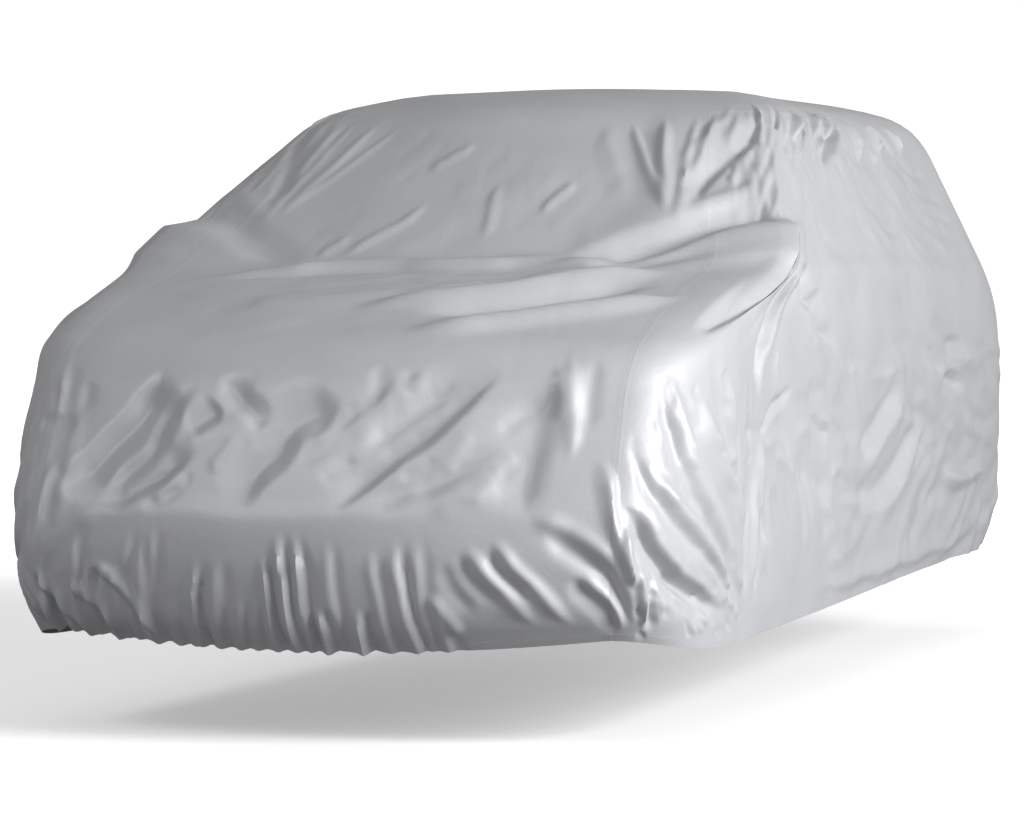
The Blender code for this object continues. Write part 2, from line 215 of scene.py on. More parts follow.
CORNER_PULL = 0.62        # how square the rounded corners are, as a share of their length
RINGS = (
    Ring(2.95, 3.85, 0.00, 0.000, 0.00, 0.00, 0.00, 0.00, 0.00, 1.845, 1.845, 1.845, 1.845, 1.845, 0.00),
    Ring(2.50, 4.24, 0.42, 0.540, 0.50, 0.22, 0.20, 0.06, 0.03, 1.828, 1.822, 1.824, 1.836, 1.822, 0.15),
    Ring(2.03, 4.54, 0.55, 0.750, 0.71, 0.34, 0.26, 0.10, 0.05, 1.752, 1.742, 1.750, 1.775, 1.750, 0.13),
    Ring(1.14, 4.86, 0.73, 0.950, 0.90, 0.36, 0.30, 0.12, 0.06, 1.270, 1.265, 1.255, 1.260, 1.240, 0.09),
    Ring(0.58, 4.93, 0.76, 0.975, 0.91, 0.40, 0.32, 0.12, 0.06, 1.170, 1.155, 1.130, 1.130, 1.130, 0.20),
    Ring(0.22, 4.96, 0.78, 0.980, 0.92, 0.45, 0.35, 0.12, 0.06, 1.035, 1.030, 1.000, 0.980, 0.980, 0.12),
    Ring(0.00, 4.99, 0.79, 0.975, 0.93, 0.50, 0.40, 0.12, 0.06, 0.590, 0.590, 0.620, 0.600, 0.620, 0.20),
    Ring(0.04, 4.95, 0.78, 0.960, 0.91, 0.50, 0.40, 0.12, 0.06, 0.350, 0.370, 0.370, 0.400, 0.420, 0.12),
    Ring(0.13, 4.86, 0.75, 0.940, 0.87, 0.50, 0.40, 0.12, 0.06, 0.248, 0.285, 0.240, 0.290, 0.310, 0.00),
)
ROOF_RING, NOSE_RING = 2, 5


@dataclass(frozen=True)
class Fold:
    """A soft ridge or trough along a smooth line on the cloth.

    Attributes:
        line: places that it runs through, read as its zone says.
        height: metres, positive outwards.
        left: half width on the left of the way it runs, metres.
        right: half width on the right.
        crisp: how creased it is: 0 for a soft round fold, 1 for flat faces that meet in a crease.
    """

    line: tuple[tuple[float, float], ...]
    height: float
    left: float
    right: float
    crisp: float = 0.7

    def profile(self, distance: np.ndarray, width: np.ndarray) -> np.ndarray:
        """Height across the fold.

        Args:
            distance: metres from the crest.
            width: half width there.

        Returns:
            Share of the height at the crest.
        """
        soft = np.exp(-(distance / width) ** 2)
        off_crest = np.sqrt(distance ** 2 + CREST_RADIUS ** 2) - CREST_RADIUS
        face = 1.0 - off_crest / (FACE_WIDTH * width)
        foot = np.clip(face + FOOT, 0, 2 * FOOT) ** 2 / (4 * FOOT)
        return self.crisp * np.where(face > FOOT, face, foot) + (1 - self.crisp) * soft

    def heights(self, a: np.ndarray, b: np.ndarray) -> np.ndarray:
        """Height of the fold over the cloth.

        Args:
            a: first part of each place, as its zone reads it.
            b: second part.

        Returns:
            Metres outwards at each place.
        """
        total = np.zeros_like(a)
        knots = np.array(self.line)
        reach = 3.0 * max(self.left, self.right) + FOLD_WANDER
        low, high = knots.min(axis=0) - reach, knots.max(axis=0) + reach
        near = (a > low[0]) & (a < high[0]) & (b > low[1]) & (b < high[1])
        if not near.any():
            return total
        curve = smooth_line(knots)
        steps = np.diff(curve, axis=0)
        lengths = np.linalg.norm(steps, axis=1)
        place = np.stack([a[near], b[near]], axis=-1)
        offset = place[:, None, :] - curve[None, :-1, :]
        share = np.clip((offset * steps).sum(axis=-1) / lengths ** 2, 0, 1)
        gap = offset - share[..., None] * steps
        distance = np.linalg.norm(gap, axis=-1)
        best = distance.argmin(axis=1)
        rows = np.arange(len(best))
        way = steps[best] / lengths[best, None]
        side = way[:, 0] * gap[rows, best, 1] - way[:, 1] * gap[rows, best, 0]
        run = np.concatenate([[0.0], np.cumsum(lengths)])
        t = (run[best] + share[rows, best] * lengths[best]) / run[-1]
        fade = ease(t / FOLD_FADE) * ease((1 - t) / FOLD_FADE)
        width = np.where(side > 0, self.left, self.right) * (END_WIDTH + (1 - END_WIDTH) * fade)
        total[near] = self.height * fade * self.profile(distance[rows, best], width)
        return total


CREST_RADIUS = 0.005      # rounding of a crease, metres
FACE_WIDTH = 1.6          # width of a flat face beside a crease, as a share of the half width
FOOT = 0.1                # share of the face over which its foot is rounded
SIDE_SHARE = 0.5          # how much of the folds on both hands the right hand shows
FAR_SHARE = 0.3           # how much of the left hand's own folds the right hand shows
END_WIDTH = 0.45          # width of a fold at its ends, as a share of its width in the middle
FOLD_FADE = 0.25          # share of a fold's length over which each end dies away
FOLD_WANDER = 0.012       # how far a fold strays from its line, metres
LINE_STEPS = 7            # straight steps that stand for the curve between two of its places
CRINKLE_BEND = 0.25       # how much a crinkle bows, as a share of half its length
WANDER_WAVES = (          # for each way: (share of the straying, radians per metre one way, and the other)
    ((0.5, 7.0, 13.0), (0.15, -19.0, 37.0)),
    ((0.5, 12.0, -5.0), (0.15, 31.0, 13.0)),
)
WALL_FOLDS_FROM = (1.7, 2.1)       # rings down over which the folds of the walls come in
BONNET_FOLDS_FROM = (2.8, 3.0)     # rings down over which the folds of the bonnet come in
BONNET_FOLDS_TO = (4.7, 5.0)       # rings down over which they die away
FRONT_GATHERED = (-0.80, 0.36)     # from and to where the front hem is gathered, metres around
BACK_GATHERED = (5.0, 6.32)        # the same for the back hem on both hands


def smooth_line(knots: np.ndarray) -> np.ndarray:
    """Rounded line through some places, as many short steps.

    Args:
        knots: places that it runs through, one a row.

    Returns:
        The steps' ends, one a row.
    """
    if len(knots) == 2:
        return np.linspace(knots[0], knots[1], 3)
    padded = np.concatenate([[2 * knots[0] - knots[1]], knots, [2 * knots[-1] - knots[-2]]])
    parts = []
    for p0, p1, p2, p3 in zip(padded, padded[1:], padded[2:], padded[3:]):
        t = np.linspace(0, 1, LINE_STEPS, endpoint=False)[:, None]
        parts.append(0.5 * (2 * p1 + (p2 - p0) * t + (2 * p0 - 5 * p1 + 4 * p2 - p3) * t ** 2
                            + (3 * p1 - p0 - 3 * p2 + p3) * t ** 3))
    return np.concatenate([*parts, knots[-1:]])


@dataclass(frozen=True)
class Crinkles:
    """Small folds strewn over a patch of the cloth, all from one fixed seed.

    Attributes:
        low: lowest corner of the patch.
        high: highest corner.
        count: how many.
        angle: way that they run, degrees from level.
        stray: how far the way varies, degrees.
        length: shortest and longest.
        height: least and most, metres; either sign.
        width: least and most half width.
        seed: seed of the draw.
    """

    low: tuple[float, float]
    high: tuple[float, float]
    count: int
    angle: float
    stray: float
    length: tuple[float, float]
    height: tuple[float, float]
    width: tuple[float, float]
    seed: int

    def folds(self) -> list[Fold]:
        """Draw the folds.

        Returns:
            The folds in the order drawn.
        """
        draw = np.random.default_rng(self.seed)
        made = []
        for _ in range(self.count):
            middle = draw.uniform(self.low, self.high)
            angle = math.radians(self.angle + draw.uniform(-self.stray, self.stray))
            half = 0.5 * draw.uniform(*self.length) * np.array([math.cos(angle), math.sin(angle)])
            bend = draw.uniform(-CRINKLE_BEND, CRINKLE_BEND) * np.array([-half[1], half[0]])
            height = draw.uniform(*self.height) * draw.choice((-1.0, 1.0))
            left, right = draw.uniform(*self.width, size=2)
            made.append(Fold((tuple(middle - half), tuple(middle + bend), tuple(middle + half)),
                             height, left, right))
        return made


def folds_of(rows: tuple[tuple, ...]) -> list[Fold]:
    """Folds from a table in millimetres.

    Args:
        rows: height, left, right, crispness (a share, not a length), then the places run through.

    Returns:
        The folds in their order.
    """
    return [Fold(tuple(metres(place) for place in places), height / MM, left / MM, right / MM, crisp)
            for height, left, right, crisp, *places in rows]


# Folds that can be told apart in the picture, zone by zone.
# Each row, in millimetres: height, left, right, crispness, then places as the zone reads them.
FRONT_FOLDS = folds_of((
    # upper front, from the right hand to the left
    (-34, 85, 20, 0.8, (-470, 990), (-530, 870), (-620, 780), (-730, 655)),
    (-12, 30, 17, 0.6, (-370, 950), (-440, 865), (-470, 780), (-550, 715), (-620, 655)),
    (-14, 17, 40, 0.6, (-280, 885), (-320, 850), (-370, 815)),
    (-18, 17, 55, 0.6, (-330, 770), (-410, 720), (-490, 680), (-540, 645), (-630, 645)),
    (-16, 30, 20, 0.7, (-300, 965), (-240, 900), (-190, 865), (-170, 810)),
    (-26, 36, 60, 0.8, (70, 905), (-70, 855), (-110, 780), (-160, 715), (-170, 620)),
    (-30, 18, 80, 0.8, (475, 990), (380, 900), (290, 815), (160, 710), (70, 600)),
    (-14, 17, 34, 0.6, (370, 955), (280, 890), (190, 820), (120, 780)),
    (-11, 17, 26, 0.6, (510, 800), (410, 755), (300, 700), (130, 620)),
    (-9, 17, 20, 0.6, (480, 755), (380, 715), (280, 670), (170, 610)),
    (7, 34, 26, 0.6, (530, 705), (440, 680), (370, 655), (320, 610)),
    (-6, 18, 17, 0.6, (150, 1000), (155, 950), (150, 900)),
    (-6, 17, 17, 0.6, (240, 990), (235, 950), (220, 920)),
    (-5, 20, 34, 0.6, (120, 840), (50, 800), (20, 770), (-60, 765)),
    (-7, 17, 20, 0.6, (20, 700), (80, 740), (120, 750)),
    (-7, 17, 17, 0.7, (-900, 842), (-800, 835), (-710, 842)),
    (-4, 20, 20, 0.7, (-820, 930), (-800, 860)),
    (-4, 22, 18, 0.7, (-700, 950), (-700, 870)),
    # hollow and bright ridges beside the front corner
    (-26, 36, 110, 0.6, (600, 980), (590, 860), (575, 740), (565, 600)),
    (11, 16, 16, 0.5, (630, 1035), (655, 930), (670, 850), (680, 740)),
    (9, 15, 15, 0.7, (605, 1010), (630, 930), (645, 840)),
    (-7, 15, 16, 0.7, (690, 1020), (705, 930), (710, 820)),
    # ledge across the lower front
    (6, 30, 50, 0.7, (-760, 612), (-300, 606), (200, 606), (540, 614)),
    # ridges drawn to the hem at the right-hand corner
    (15, 15, 18, 0.7, (-635, 485), (-550, 430), (-490, 345), (-445, 265)),
    (-10, 16, 18, 0.7, (-660, 465), (-575, 410), (-520, 330), (-480, 265)),
    (14, 15, 16, 0.7, (-715, 435), (-640, 380), (-600, 320), (-565, 270)),
    (14, 15, 16, 0.7, (-835, 465), (-770, 390), (-730, 330), (-700, 275)),
    (-10, 16, 16, 0.7, (-860, 440), (-800, 370), (-755, 300)),
    (12, 15, 15, 0.7, (-915, 460), (-855, 370), (-800, 300)),
    (12, 15, 15, 0.7, (-980, 500), (-930, 410), (-880, 310)),
    # lower front by the left-hand corner
    (13, 15, 16, 0.7, (420, 545), (475, 470), (550, 385), (620, 320)),
    (-10, 15, 16, 0.7, (400, 520), (450, 450), (530, 370)),
    (15, 15, 15, 0.7, (490, 555), (545, 475), (620, 405), (700, 330)),
    (-12, 15, 15, 0.7, (475, 530), (530, 455), (600, 385)),
    (12, 15, 18, 0.7, (330, 420), (370, 360), (410, 290)),
    (-8, 16, 16, 0.7, (370, 500), (395, 430), (450, 350)),
))
CORNER_FOLDS = folds_of((
    # hollow with a rolled edge, drawn down to the hem
    (-24, 26, 30, 0.4, (600, 585), (690, 535), (760, 480), (810, 420), (880, 320)),
    (14, 22, 26, 0.4, (585, 615), (680, 565), (765, 515), (800, 470)),
    (-16, 15, 22, 0.8, (680, 455), (760, 390), (830, 310)),
    (11, 15, 15, 0.8, (710, 470), (780, 405), (850, 330)),
    (-40, 15, 48, 0.8, (830, 645), (920, 585), (1000, 500), (1120, 420), (1340, 335)),
    (24, 15, 18, 0.8, (855, 600), (865, 530), (885, 430)),
    (16, 15, 18, 0.8, (755, 760), (790, 670), (815, 580), (865, 470)),
    (14, 15, 15, 0.8, (900, 500), (920, 420), (930, 310)),
    (-14, 16, 16, 0.8, (970, 470), (960, 380), (950, 300)),
    # fan drawn to the gather behind the corner
    (-18, 15, 26, 0.8, (900, 985), (960, 880), (1030, 780), (1120, 670), (1350, 490), (1500, 320)),
    (14, 15, 26, 0.8, (960, 1000), (1030, 860), (1110, 760), (1220, 650), (1420, 470), (1510, 340)),
    (18, 15, 26, 0.8, (1080, 960), (1200, 800), (1330, 660), (1440, 520), (1530, 340)),
    (-14, 15, 20, 0.8, (1120, 1020), (1280, 820), (1400, 660), (1480, 520), (1540, 360)),
    (-12, 15, 18, 0.8, (1050, 900), (1150, 750), (1280, 610), (1420, 460), (1500, 340)),
    (-16, 15, 24, 0.8, (820, 800), (900, 720), (1020, 620), (1180, 510), (1480, 335)),
    (15, 20, 15, 0.8, (940, 745), (1060, 635), (1220, 530), (1450, 370)),
    (-14, 15, 22, 0.8, (1300, 900), (1420, 700), (1510, 520), (1550, 360)),
    (13, 15, 20, 0.8, (1220, 980), (1360, 780), (1480, 580), (1540, 380)),
    (14, 24, 15, 0.8, (1620, 700), (1640, 540), (1620, 360)),
    (-8, 15, 15, 0.8, (1720, 620), (1700, 480), (1660, 340)),
    (-12, 15, 15, 0.8, (1540, 660), (1560, 500), (1560, 340)),
    (12, 15, 15, 0.8, (1150, 520), (1270, 440), (1420, 345)),
    (-12, 15, 16, 0.8, (1020, 460), (1140, 390), (1240, 325)),
    (10, 15, 15, 0.8, (1050, 420), (1160, 360), (1270, 310)),
))
SIDE_FOLDS = folds_of((
    # loose drapes on the side
    (-24, 34, 50, 0.7, (3460, 940), (3400, 850), (3180, 770), (2930, 720)),
    (15, 40, 40, 0.7, (3540, 920), (3470, 810), (3240, 725), (3000, 690)),
    (-24, 36, 50, 0.7, (3820, 830), (3660, 700), (3480, 620), (3200, 570), (2800, 630)),
    (15, 50, 40, 0.7, (3860, 780), (3700, 650), (3500, 570), (3240, 530)),
    (-15, 16, 22, 0.7, (4250, 1045), (4380, 1020), (4520, 1012)),
    (-15, 16, 22, 0.7, (3930, 1005), (4050, 975), (4200, 935)),
    (-18, 18, 24, 0.7, (4200, 925), (4380, 895), (4560, 880)),
    (24, 20, 28, 0.7, (4220, 600), (4450, 572), (4750, 572), (5020, 585)),
    (-15, 40, 40, 0.7, (4020, 540), (3940, 460), (3800, 390)),
    (-13, 14, 14, 0.7, (1960, 925), (1840, 885), (1720, 860), (1600, 765)),
    (-11, 16, 18, 0.7, (2240, 825), (2380, 790), (2520, 775)),
    (12, 30, 34, 0.7, (1620, 820), (1690, 620), (1760, 400)),
    (-11, 40, 50, 0.7, (2050, 740), (2300, 660), (2620, 620)),
    (-12, 50, 60, 0.7, (2500, 900), (2720, 800), (2900, 660)),
    (19, 10, 13, 0.7, (1055, 1765), (1035, 1730), (1020, 1690)),
    (-19, 11, 14, 0.7, (1170, 1760), (1140, 1710), (1100, 1680)),
    (23, 16, 19, 0.7, (1360, 1760), (1300, 1700), (1240, 1660)),
    (-30, 18, 24, 0.7, (1660, 1760), (1540, 1690), (1380, 1635)),
    (27, 21, 24, 0.7, (1960, 1765), (1850, 1720), (1730, 1675)),
    (-46, 24, 18, 0.7, (2680, 1755), (2450, 1700), (2200, 1650), (1920, 1595)),
    (23, 24, 21, 0.7, (2450, 1760), (2250, 1715), (2100, 1680)),
    (34, 24, 27, 0.7, (2970, 1760), (2960, 1700), (2940, 1610)),
    (-19, 40, 40, 0.7, (3160, 1760), (3140, 1660)),
    (27, 24, 29, 0.7, (3620, 1760), (3600, 1700), (3590, 1640)),
    (-15, 32, 32, 0.7, (3900, 1760), (3920, 1700), (4020, 1660)),
    (19, 32, 35, 0.7, (4300, 1760), (4320, 1720), (4360, 1660)),
    (-9, 16, 20, 0.7, (4000, 1640), (4400, 1600), (4800, 1590)),
    (-9, 14, 16, 0.7, (4200, 1550), (4550, 1520), (4900, 1510)),
    (-9, 14, 16, 0.7, (4300, 1480), (4620, 1455), (4950, 1450)),
    (-7, 14, 18, 0.7, (4050, 1425), (4450, 1400), (4860, 1370)),
    # belt, and the roll along the hem
    (10, 30, 70, 0.4, (1320, 1262), (3000, 1268), (5020, 1262)),
    (10, 36, 20, 0.4, (2400, 315), (3400, 325), (4400, 345), (5100, 375)),
))
LEFT_FOLDS = folds_of((
    # crease over the pouch and folds that fall from its corner
    (-42, 30, 16, 0.9, (420, 1270), (600, 1305), (740, 1370), (880, 1412), (1120, 1414)),
    (-20, 7, 18, 1, (1112, 1420), (1118, 1350), (1122, 1260)),
    (-34, 30, 60, 0.4, (1175, 1275), (1100, 1200), (1040, 1150), (940, 1100)),
    (-26, 16, 40, 0.9, (1200, 1280), (1300, 1180), (1400, 1100), (1500, 1020), (1560, 900)),
    (10, 30, 14, 0.7, (1220, 1280), (1360, 1180), (1500, 1080), (1620, 980)),
    (-24, 18, 16, 0.7, (1260, 1275), (1600, 1205), (1970, 1140), (2340, 1050), (2540, 990)),
    (8, 16, 26, 0.7, (1260, 1245), (1580, 1170), (1920, 1100), (2280, 1020)),
    (-3, 12, 20, 0.7, (740, 1300), (900, 1335), (1060, 1345)),
    (-4, 20, 24, 0.7, (700, 1240), (840, 1255), (1000, 1290)),
    # edge of the screen and the loose cloth behind it
    (14, 130, 80, 0, (600, 1760), (655, 1600), (655, 1420), (500, 1270), (340, 1220)),
    (10, 12, 14, 0.7, (500, 1700), (570, 1580), (630, 1490), (670, 1415)),
    (14, 16, 20, 0.7, (675, 1405), (655, 1500), (640, 1600), (635, 1710)),
    (10, 12, 14, 0.7, (690, 1405), (715, 1510), (740, 1620), (760, 1730)),
    (18, 20, 24, 0.7, (705, 1410), (755, 1540), (800, 1640), (840, 1740)),
    (-26, 34, 14, 0.7, (710, 1410), (790, 1520), (880, 1595), (980, 1655), (1040, 1750)),
    (9, 12, 14, 0.7, (730, 1410), (800, 1450), (880, 1475), (990, 1490)),
    (-6, 12, 14, 0.7, (720, 1395), (800, 1425), (920, 1440)),
))
SCREEN_FOLDS = folds_of((
    (5, 12, 14, 0.7, (-410, 1295), (-370, 1330), (-340, 1360)),
    (6, 12, 16, 0.7, (-330, 1295), (-260, 1350), (-200, 1390), (-150, 1455)),
    (5, 12, 16, 0.7, (-240, 1560), (-160, 1600), (-90, 1625)),
    (5, 14, 18, 0.7, (120, 1345), (100, 1430), (75, 1510)),
    (6, 12, 16, 0.7, (270, 1420), (310, 1470), (360, 1510)),
    (6, 30, 34, 0.7, (380, 1700), (470, 1560), (550, 1440)),
))
BONNET_FOLDS = folds_of((
    (24, 50, 40, 0.3, (-660, 1030), (-250, 1085), (120, 1100), (400, 1160), (600, 1300)),
    (-8, 40, 40, 0.3, (-600, 980), (-250, 1030), (100, 1050)),
    (34, 70, 44, 0.5, (-50, 500), (160, 600), (340, 720), (520, 920), (660, 1160)),
    (-24, 36, 40, 0.5, (140, 480), (340, 585), (500, 710), (680, 960)),
    (28, 50, 36, 0.5, (140, 340), (320, 420), (480, 510), (660, 660), (780, 840)),
    (16, 30, 30, 0.5, (20, 660), (200, 760), (360, 880), (500, 1080)),
    (-14, 30, 30, 0.5, (160, 1080), (320, 1130), (500, 1260)),
    (-18, 34, 34, 0.5, (440, 1080), (580, 1200), (720, 1400)),
    (6, 50, 60, 0, (-450, 600), (-100, 660), (150, 780)),
))
# Patches of small folds. Each row, in millimetres and degrees:
# low, high, count, angle, stray, length, height, width, seed.
CRINKLES = {
    Zone.FRONT: (
        ((-450, 660), (550, 970), 26, 42, 20, (90, 200), (2, 5), (11, 22), 5),
        ((-450, 1320), (520, 1660), 16, 42, 18, (100, 240), (0.6, 1.6), (18, 32), 9),
        ((-950, 620), (-700, 950), 10, 80, 14, (100, 200), (2, 4), (12, 22), 12),
    ),
    Zone.SIDES: (
        ((850, 360), (1550, 950), 70, -50, 16, (60, 200), (2, 5), (8, 16), 21),
        ((900, 280), (1500, 420), 40, -40, 45, (30, 80), (3, 6), (6, 12), 22),
        ((1050, 1620), (3600, 1760), 60, 62, 30, (70, 180), (4, 9), (12, 26), 24),
        ((1250, 1300), (4600, 1600), 44, -8, 14, (250, 700), (2, 4), (12, 26), 25),
        ((1550, 450), (2900, 1000), 40, -30, 26, (200, 450), (3, 7), (12, 28), 26),
        ((3100, 720), (5200, 1060), 34, -14, 16, (400, 900), (3, 7), (16, 32), 27),
        ((5500, 600), (6250, 1300), 18, 75, 25, (250, 600), (3, 6), (40, 70), 29),
        ((2600, 360), (5200, 700), 26, 12, 24, (400, 900), (3, 7), (18, 36), 28),
    ),
    Zone.LEFT: (
        ((720, 1420), (1100, 1740), 30, 58, 22, (60, 160), (3, 8), (9, 18), 23),
    ),
    Zone.BONNET: (
        ((-600, 350), (600, 1100), 20, 12, 16, (160, 400), (1, 3), (20, 40), 31),
    ),
}


@dataclass(frozen=True)
class Pouch:
    """Where the cloth stands out on either hand, with a ledge along its top.

    Attributes:
        stations: metres around.
        tops: height of the ledge at each station.
        outs: how far it stands out at each.
        way: direction in plan that it stands out in.
        depth: height of its outer face.
        ledge: height over which the cloth steps out.
        step: share of the way out that is this step; the rest spans to the roof.
        skirt: height over which it falls back below.
        full: how full the span above the ledge is.
        hollow: how hollow the fall below it is.
    """

    stations: tuple[float, ...] = (0.50, 0.62, 0.78, 0.90, 1.00, 1.085, 1.115, 1.24, 1.45)
    tops: tuple[float, ...] = (1.290, 1.305, 1.358, 1.384, 1.388, 1.387, 1.385, 1.380, 1.375)
    outs: tuple[float, ...] = (0.000, 0.018, 0.070, 0.110, 0.140, 0.148, 0.122, 0.040, 0.000)
    way: tuple[float, float] = (0.80, -0.60)
    depth: float = 0.08
    ledge: float = 0.022
    step: float = 0.55
    skirt: float = 0.36
    full: float = 0.8
    hollow: float = 1.4

    def push(self, around: np.ndarray, z: np.ndarray) -> np.ndarray:
        """How far the cloth stands out.

        Args:
            around: metres around, signed by the hand.
            z: metres above the ground.

        Returns:
            Metres at each place.
        """
        reach = np.abs(around)
        top = np.interp(reach, self.stations, self.tops)
        out = np.interp(reach, self.stations, self.outs)
        step = ease((top + self.ledge - z) / self.ledge)
        roof = RINGS[ROOF_RING].z_corner
        span = np.clip((roof - z) / (roof - top), 0, 1) ** self.full
        over = self.step * step + (1 - self.step) * span
        under = np.clip((z - (top - self.depth - self.skirt)) / self.skirt, 0, 1)
        return out * over * under ** self.hollow


@dataclass(frozen=True)
class Gathers:
    """Pleats that the elastic draws into the hem, as hanging folds of uneven size.

    Attributes:
        pitch: from one pleat to the next.
        drift: how far that varies.
        top: lowest and highest top.
        foot: height that they run down to, below the hem.
        height: least and most, metres.
        width: least and most half width.
        lean: how far the foot stands from the top at the corner seam.
        lean_stray: how far that varies.
        bow: how far the top strays back, as a share of the lean.
        knee: height of the middle place, as a share of the top and a rise.
        trough: depth of the trough beside each pleat, as a share of its height.
        seed: seed of the draw.
        seeds_per_metre: how the seed changes with the start.
    """

    pitch: float = 0.048
    drift: float = 0.024
    top: tuple[float, float] = (0.37, 0.58)
    height: tuple[float, float] = (0.005, 0.014)
    width: tuple[float, float] = (0.009, 0.018)
    lean: float = 0.05
    lean_stray: float = 0.02
    foot: float = 0.20
    bow: float = 0.3
    knee: tuple[float, float] = (0.6, 0.1)
    trough: float = 0.8
    seed: int = 41
    seeds_per_metre: int = 100

    def folds(self, start: float, end: float, signed: bool) -> list[Fold]:
        """Draw the pleats between two places around the hem.

        Args:
            start: metres around of the first.
            end: metres around of the last.
            signed: whether the pleats lean away from the middle of the front.

        Returns:
            The pleats as folds.
        """
        draw = np.random.default_rng(self.seed + int(self.seeds_per_metre * abs(start)))
        made = []
        place = start
        while place < end:
            top = draw.uniform(*self.top)
            lean = self.lean * (place / FRONT_END if signed else 1.0)
            lean += draw.uniform(-self.lean_stray, self.lean_stray)
            height = draw.uniform(*self.height)
            left, right = draw.uniform(*self.width, size=2)
            knee = self.knee[0] * top + self.knee[1]
            line = ((place - self.bow * lean, top), (place, knee), (place + lean, self.foot))
            beside = tuple((a + 0.5 * self.pitch, b) for a, b in line)
            made.append(Fold(line, height, left, right))
            made.append(Fold(beside, -self.trough * height, left, right))
            place += self.pitch + draw.uniform(-self.drift, self.drift)
        return made


BACK_GATHERS = Gathers(pitch=0.150, drift=0.050, height=(0.006, 0.013), width=(0.036, 0.056))


@dataclass(frozen=True)
class Seams:
    """Felled seams and the turned hem: how the doubled cloth stands up.

    Attributes:
        rise: how far it stands up.
        half_width: half width of a felled seam.
        groove: depth of the groove where two panels meet.
        groove_half: half width of the groove.
        hem_width: width of the turned hem.
        hem_step: width over which its edge steps down.
        above_rail: how far above the rail seam the corner seams begin, in rings.
        stitch_offset: from a seam to its row of stitches.
    """

    rise: float = 0.0005
    half_width: float = 0.011
    groove: float = 0.0001
    groove_half: float = 0.0022
    hem_width: float = 0.028
    hem_step: float = 0.006
    above_rail: float = 0.02
    stitch_offset: float = 0.006


